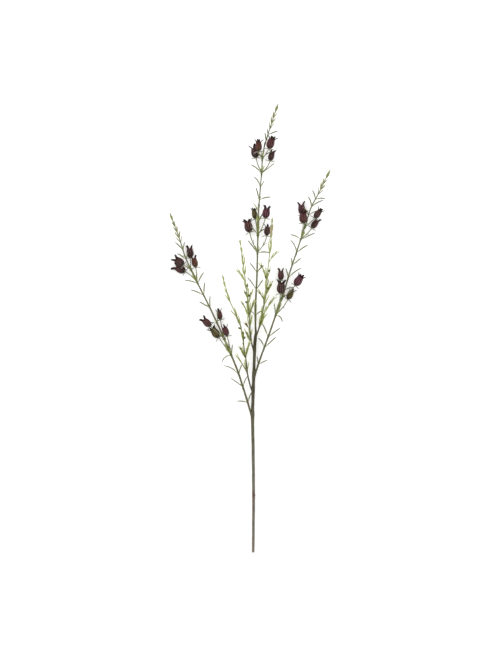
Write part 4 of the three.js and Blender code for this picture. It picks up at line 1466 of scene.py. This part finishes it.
# The bloom that all blooms are copied from, on Z, one unit in girth and one in height to its throat. A petal
# is modelled as a strip bent round the axis, with its upper part rolled into a horn. Four of them are joined
# along their seams up to the throat.
petalForm = {
    "columns": 12, "bodyRows": 10, "relief": 0.045, "ribs": 3, "ribHeight": 0.012, "thickness": 0.03,
    # how far out and up the body goes, from foot to throat
    "body": [
        (0, 0), (0.19, 0.015), (0.33, 0.075), (0.44, 0.19), (0.49, 0.34), (0.485, 0.5), (0.44, 0.68),
        (0.395, 0.82), (0.375, 0.88),
    ],
    # for each row of the horn, how far out and up it is, how broad its roll is and how far round it goes
    "horn": [
        (0.385, 0.93, 0.225, 56), (0.405, 0.985, 0.185, 64), (0.435, 1.04, 0.155, 71),
        (0.475, 1.1, 0.125, 76), (0.52, 1.16, 0.096, 80), (0.565, 1.215, 0.068, 83), (0.595, 1.25, 0.018, 84),
    ],
}


def modelBloom():
    clear()
    form = petalForm
    bodyRows = form["bodyRows"]
    rows = bodyRows + len(form["horn"])
    bpy.ops.mesh.primitive_grid_add(x_subdivisions=form["columns"], y_subdivisions=rows, size=1)
    petal = bpy.context.object
    corners = cornersOf(petal)
    across = corners[:, 0] * 2
    row = np.rint((corners[:, 1] + 0.5) * rows).astype(int)
    body = smoothRoute([(radius, 0, height) for radius, height in form["body"]], 12)
    profile = body.at(np.clip(row / bodyRows, 0, 1))
    ribs = 1 - form["ribHeight"] * np.cos(form["ribs"] * math.pi * (across + 1))
    radius = profile[:, 0] * (1 + form["relief"] * (1 - 2 * across**4)) * ribs
    angle = across * math.pi / 4
    found = np.stack([np.cos(angle) * radius, np.sin(angle) * radius, profile[:, 2]], axis=1)
    for number, (outward, height, breadth, rolled) in enumerate(form["horn"]):
        here = row == bodyRows + 1 + number
        angle = across[here] * math.radians(rolled)
        found[here, 0] = outward * (1 + form["relief"]) - breadth * (1 - np.cos(angle))
        found[here, 1] = breadth * np.sin(angle)
        found[here, 2] = height
    moveCorners(petal, found)
    petals = [petal]
    for quarter in range(1, 4):
        other = copyOf(petal)
        other.data.transform(Matrix.Rotation(quarter * math.pi / 2, 4, "Z"))
        petals.append(other)
    bloom = joinAs("unitBloom", petals)
    edit(bloom)
    bpy.ops.mesh.select_all(action="SELECT")
    bpy.ops.mesh.remove_doubles(threshold=0.0005)
    bpy.ops.mesh.normals_make_consistent(inside=False)
    bpy.ops.object.mode_set(mode="OBJECT")
    bloom.data.transform(Matrix.Rotation(math.pi / 4, 4, "Z"))
    applyModifier(bloom, "SOLIDIFY", thickness=form["thickness"], offset=-1)
    applyModifier(bloom, "SUBSURF", levels=1, render_levels=1)
    return bloom


unitBloom = modelBloom()
print("bloom modelled:", len(unitBloom.data.polygons), "faces")

# How blooms differ: in how far each horn spreads, rises and leans above the throat
bloomVariety = {
    "seed": 4021, "throat": 0.9, "opening": 0.3, "flare": 0.9, "rise": 0.25, "lean": 0.5, "floorGap": 0.2,
}


def variedBy(roll, trait, quarter):
    return np.array([spread(roll, bloomVariety[trait]) for _ in range(4)])[quarter]


def buildBlooms():
    roll = dice(bloomVariety["seed"])
    for cluster in clusters:
        for number, bloom in enumerate(cluster["blooms"]):
            foot, axis, turned = poseOf(bloom)
            girth, tone = bloom[2], bloom[4]
            shape = copyOf(unitBloom)
            corners = cornersOf(shape)
            quarter = np.floor(np.arctan2(corners[:, 1], corners[:, 0]) / (math.pi / 2)).astype(int) % 4
            flare = variedBy(roll, "flare", quarter) + bloomVariety["opening"]
            rise = variedBy(roll, "rise", quarter)
            lean = variedBy(roll, "lean", quarter)
            above = np.clip(corners[:, 2] - bloomVariety["throat"], 0, None)
            outward = unit(corners * (1, 1, 0) + 1e-9)
            sideways = np.cross(up, outward)
            corners = corners + outward * (above * flare)[:, None] + sideways * (above * lean)[:, None]
            corners[:, 2] += above * rise
            size = np.array([girth, girth, bloomHeight(girth)]) * mm
            found = (corners * size) @ turned.T + foot
            found[:, 2] = np.maximum(found[:, 2], bloomVariety["floorGap"] * mm)
            moveCorners(shape, found)
            side, level, _ = cluster["name"].split("_")
            piece = joinAs(f"{side}{level.title()}Bloom{number + 1}", [shape])
            slotName = "bloom_olive" if tone == "olive" else "bloom_dark"
            finishPiece(piece, [f"{cluster['name']}_{number + 1}"], slotName, paints[tone])
    print("blooms set")


buildBlooms()

for model in (unitLeaf, unitBud, unitBloom):
    bpy.data.objects.remove(model)
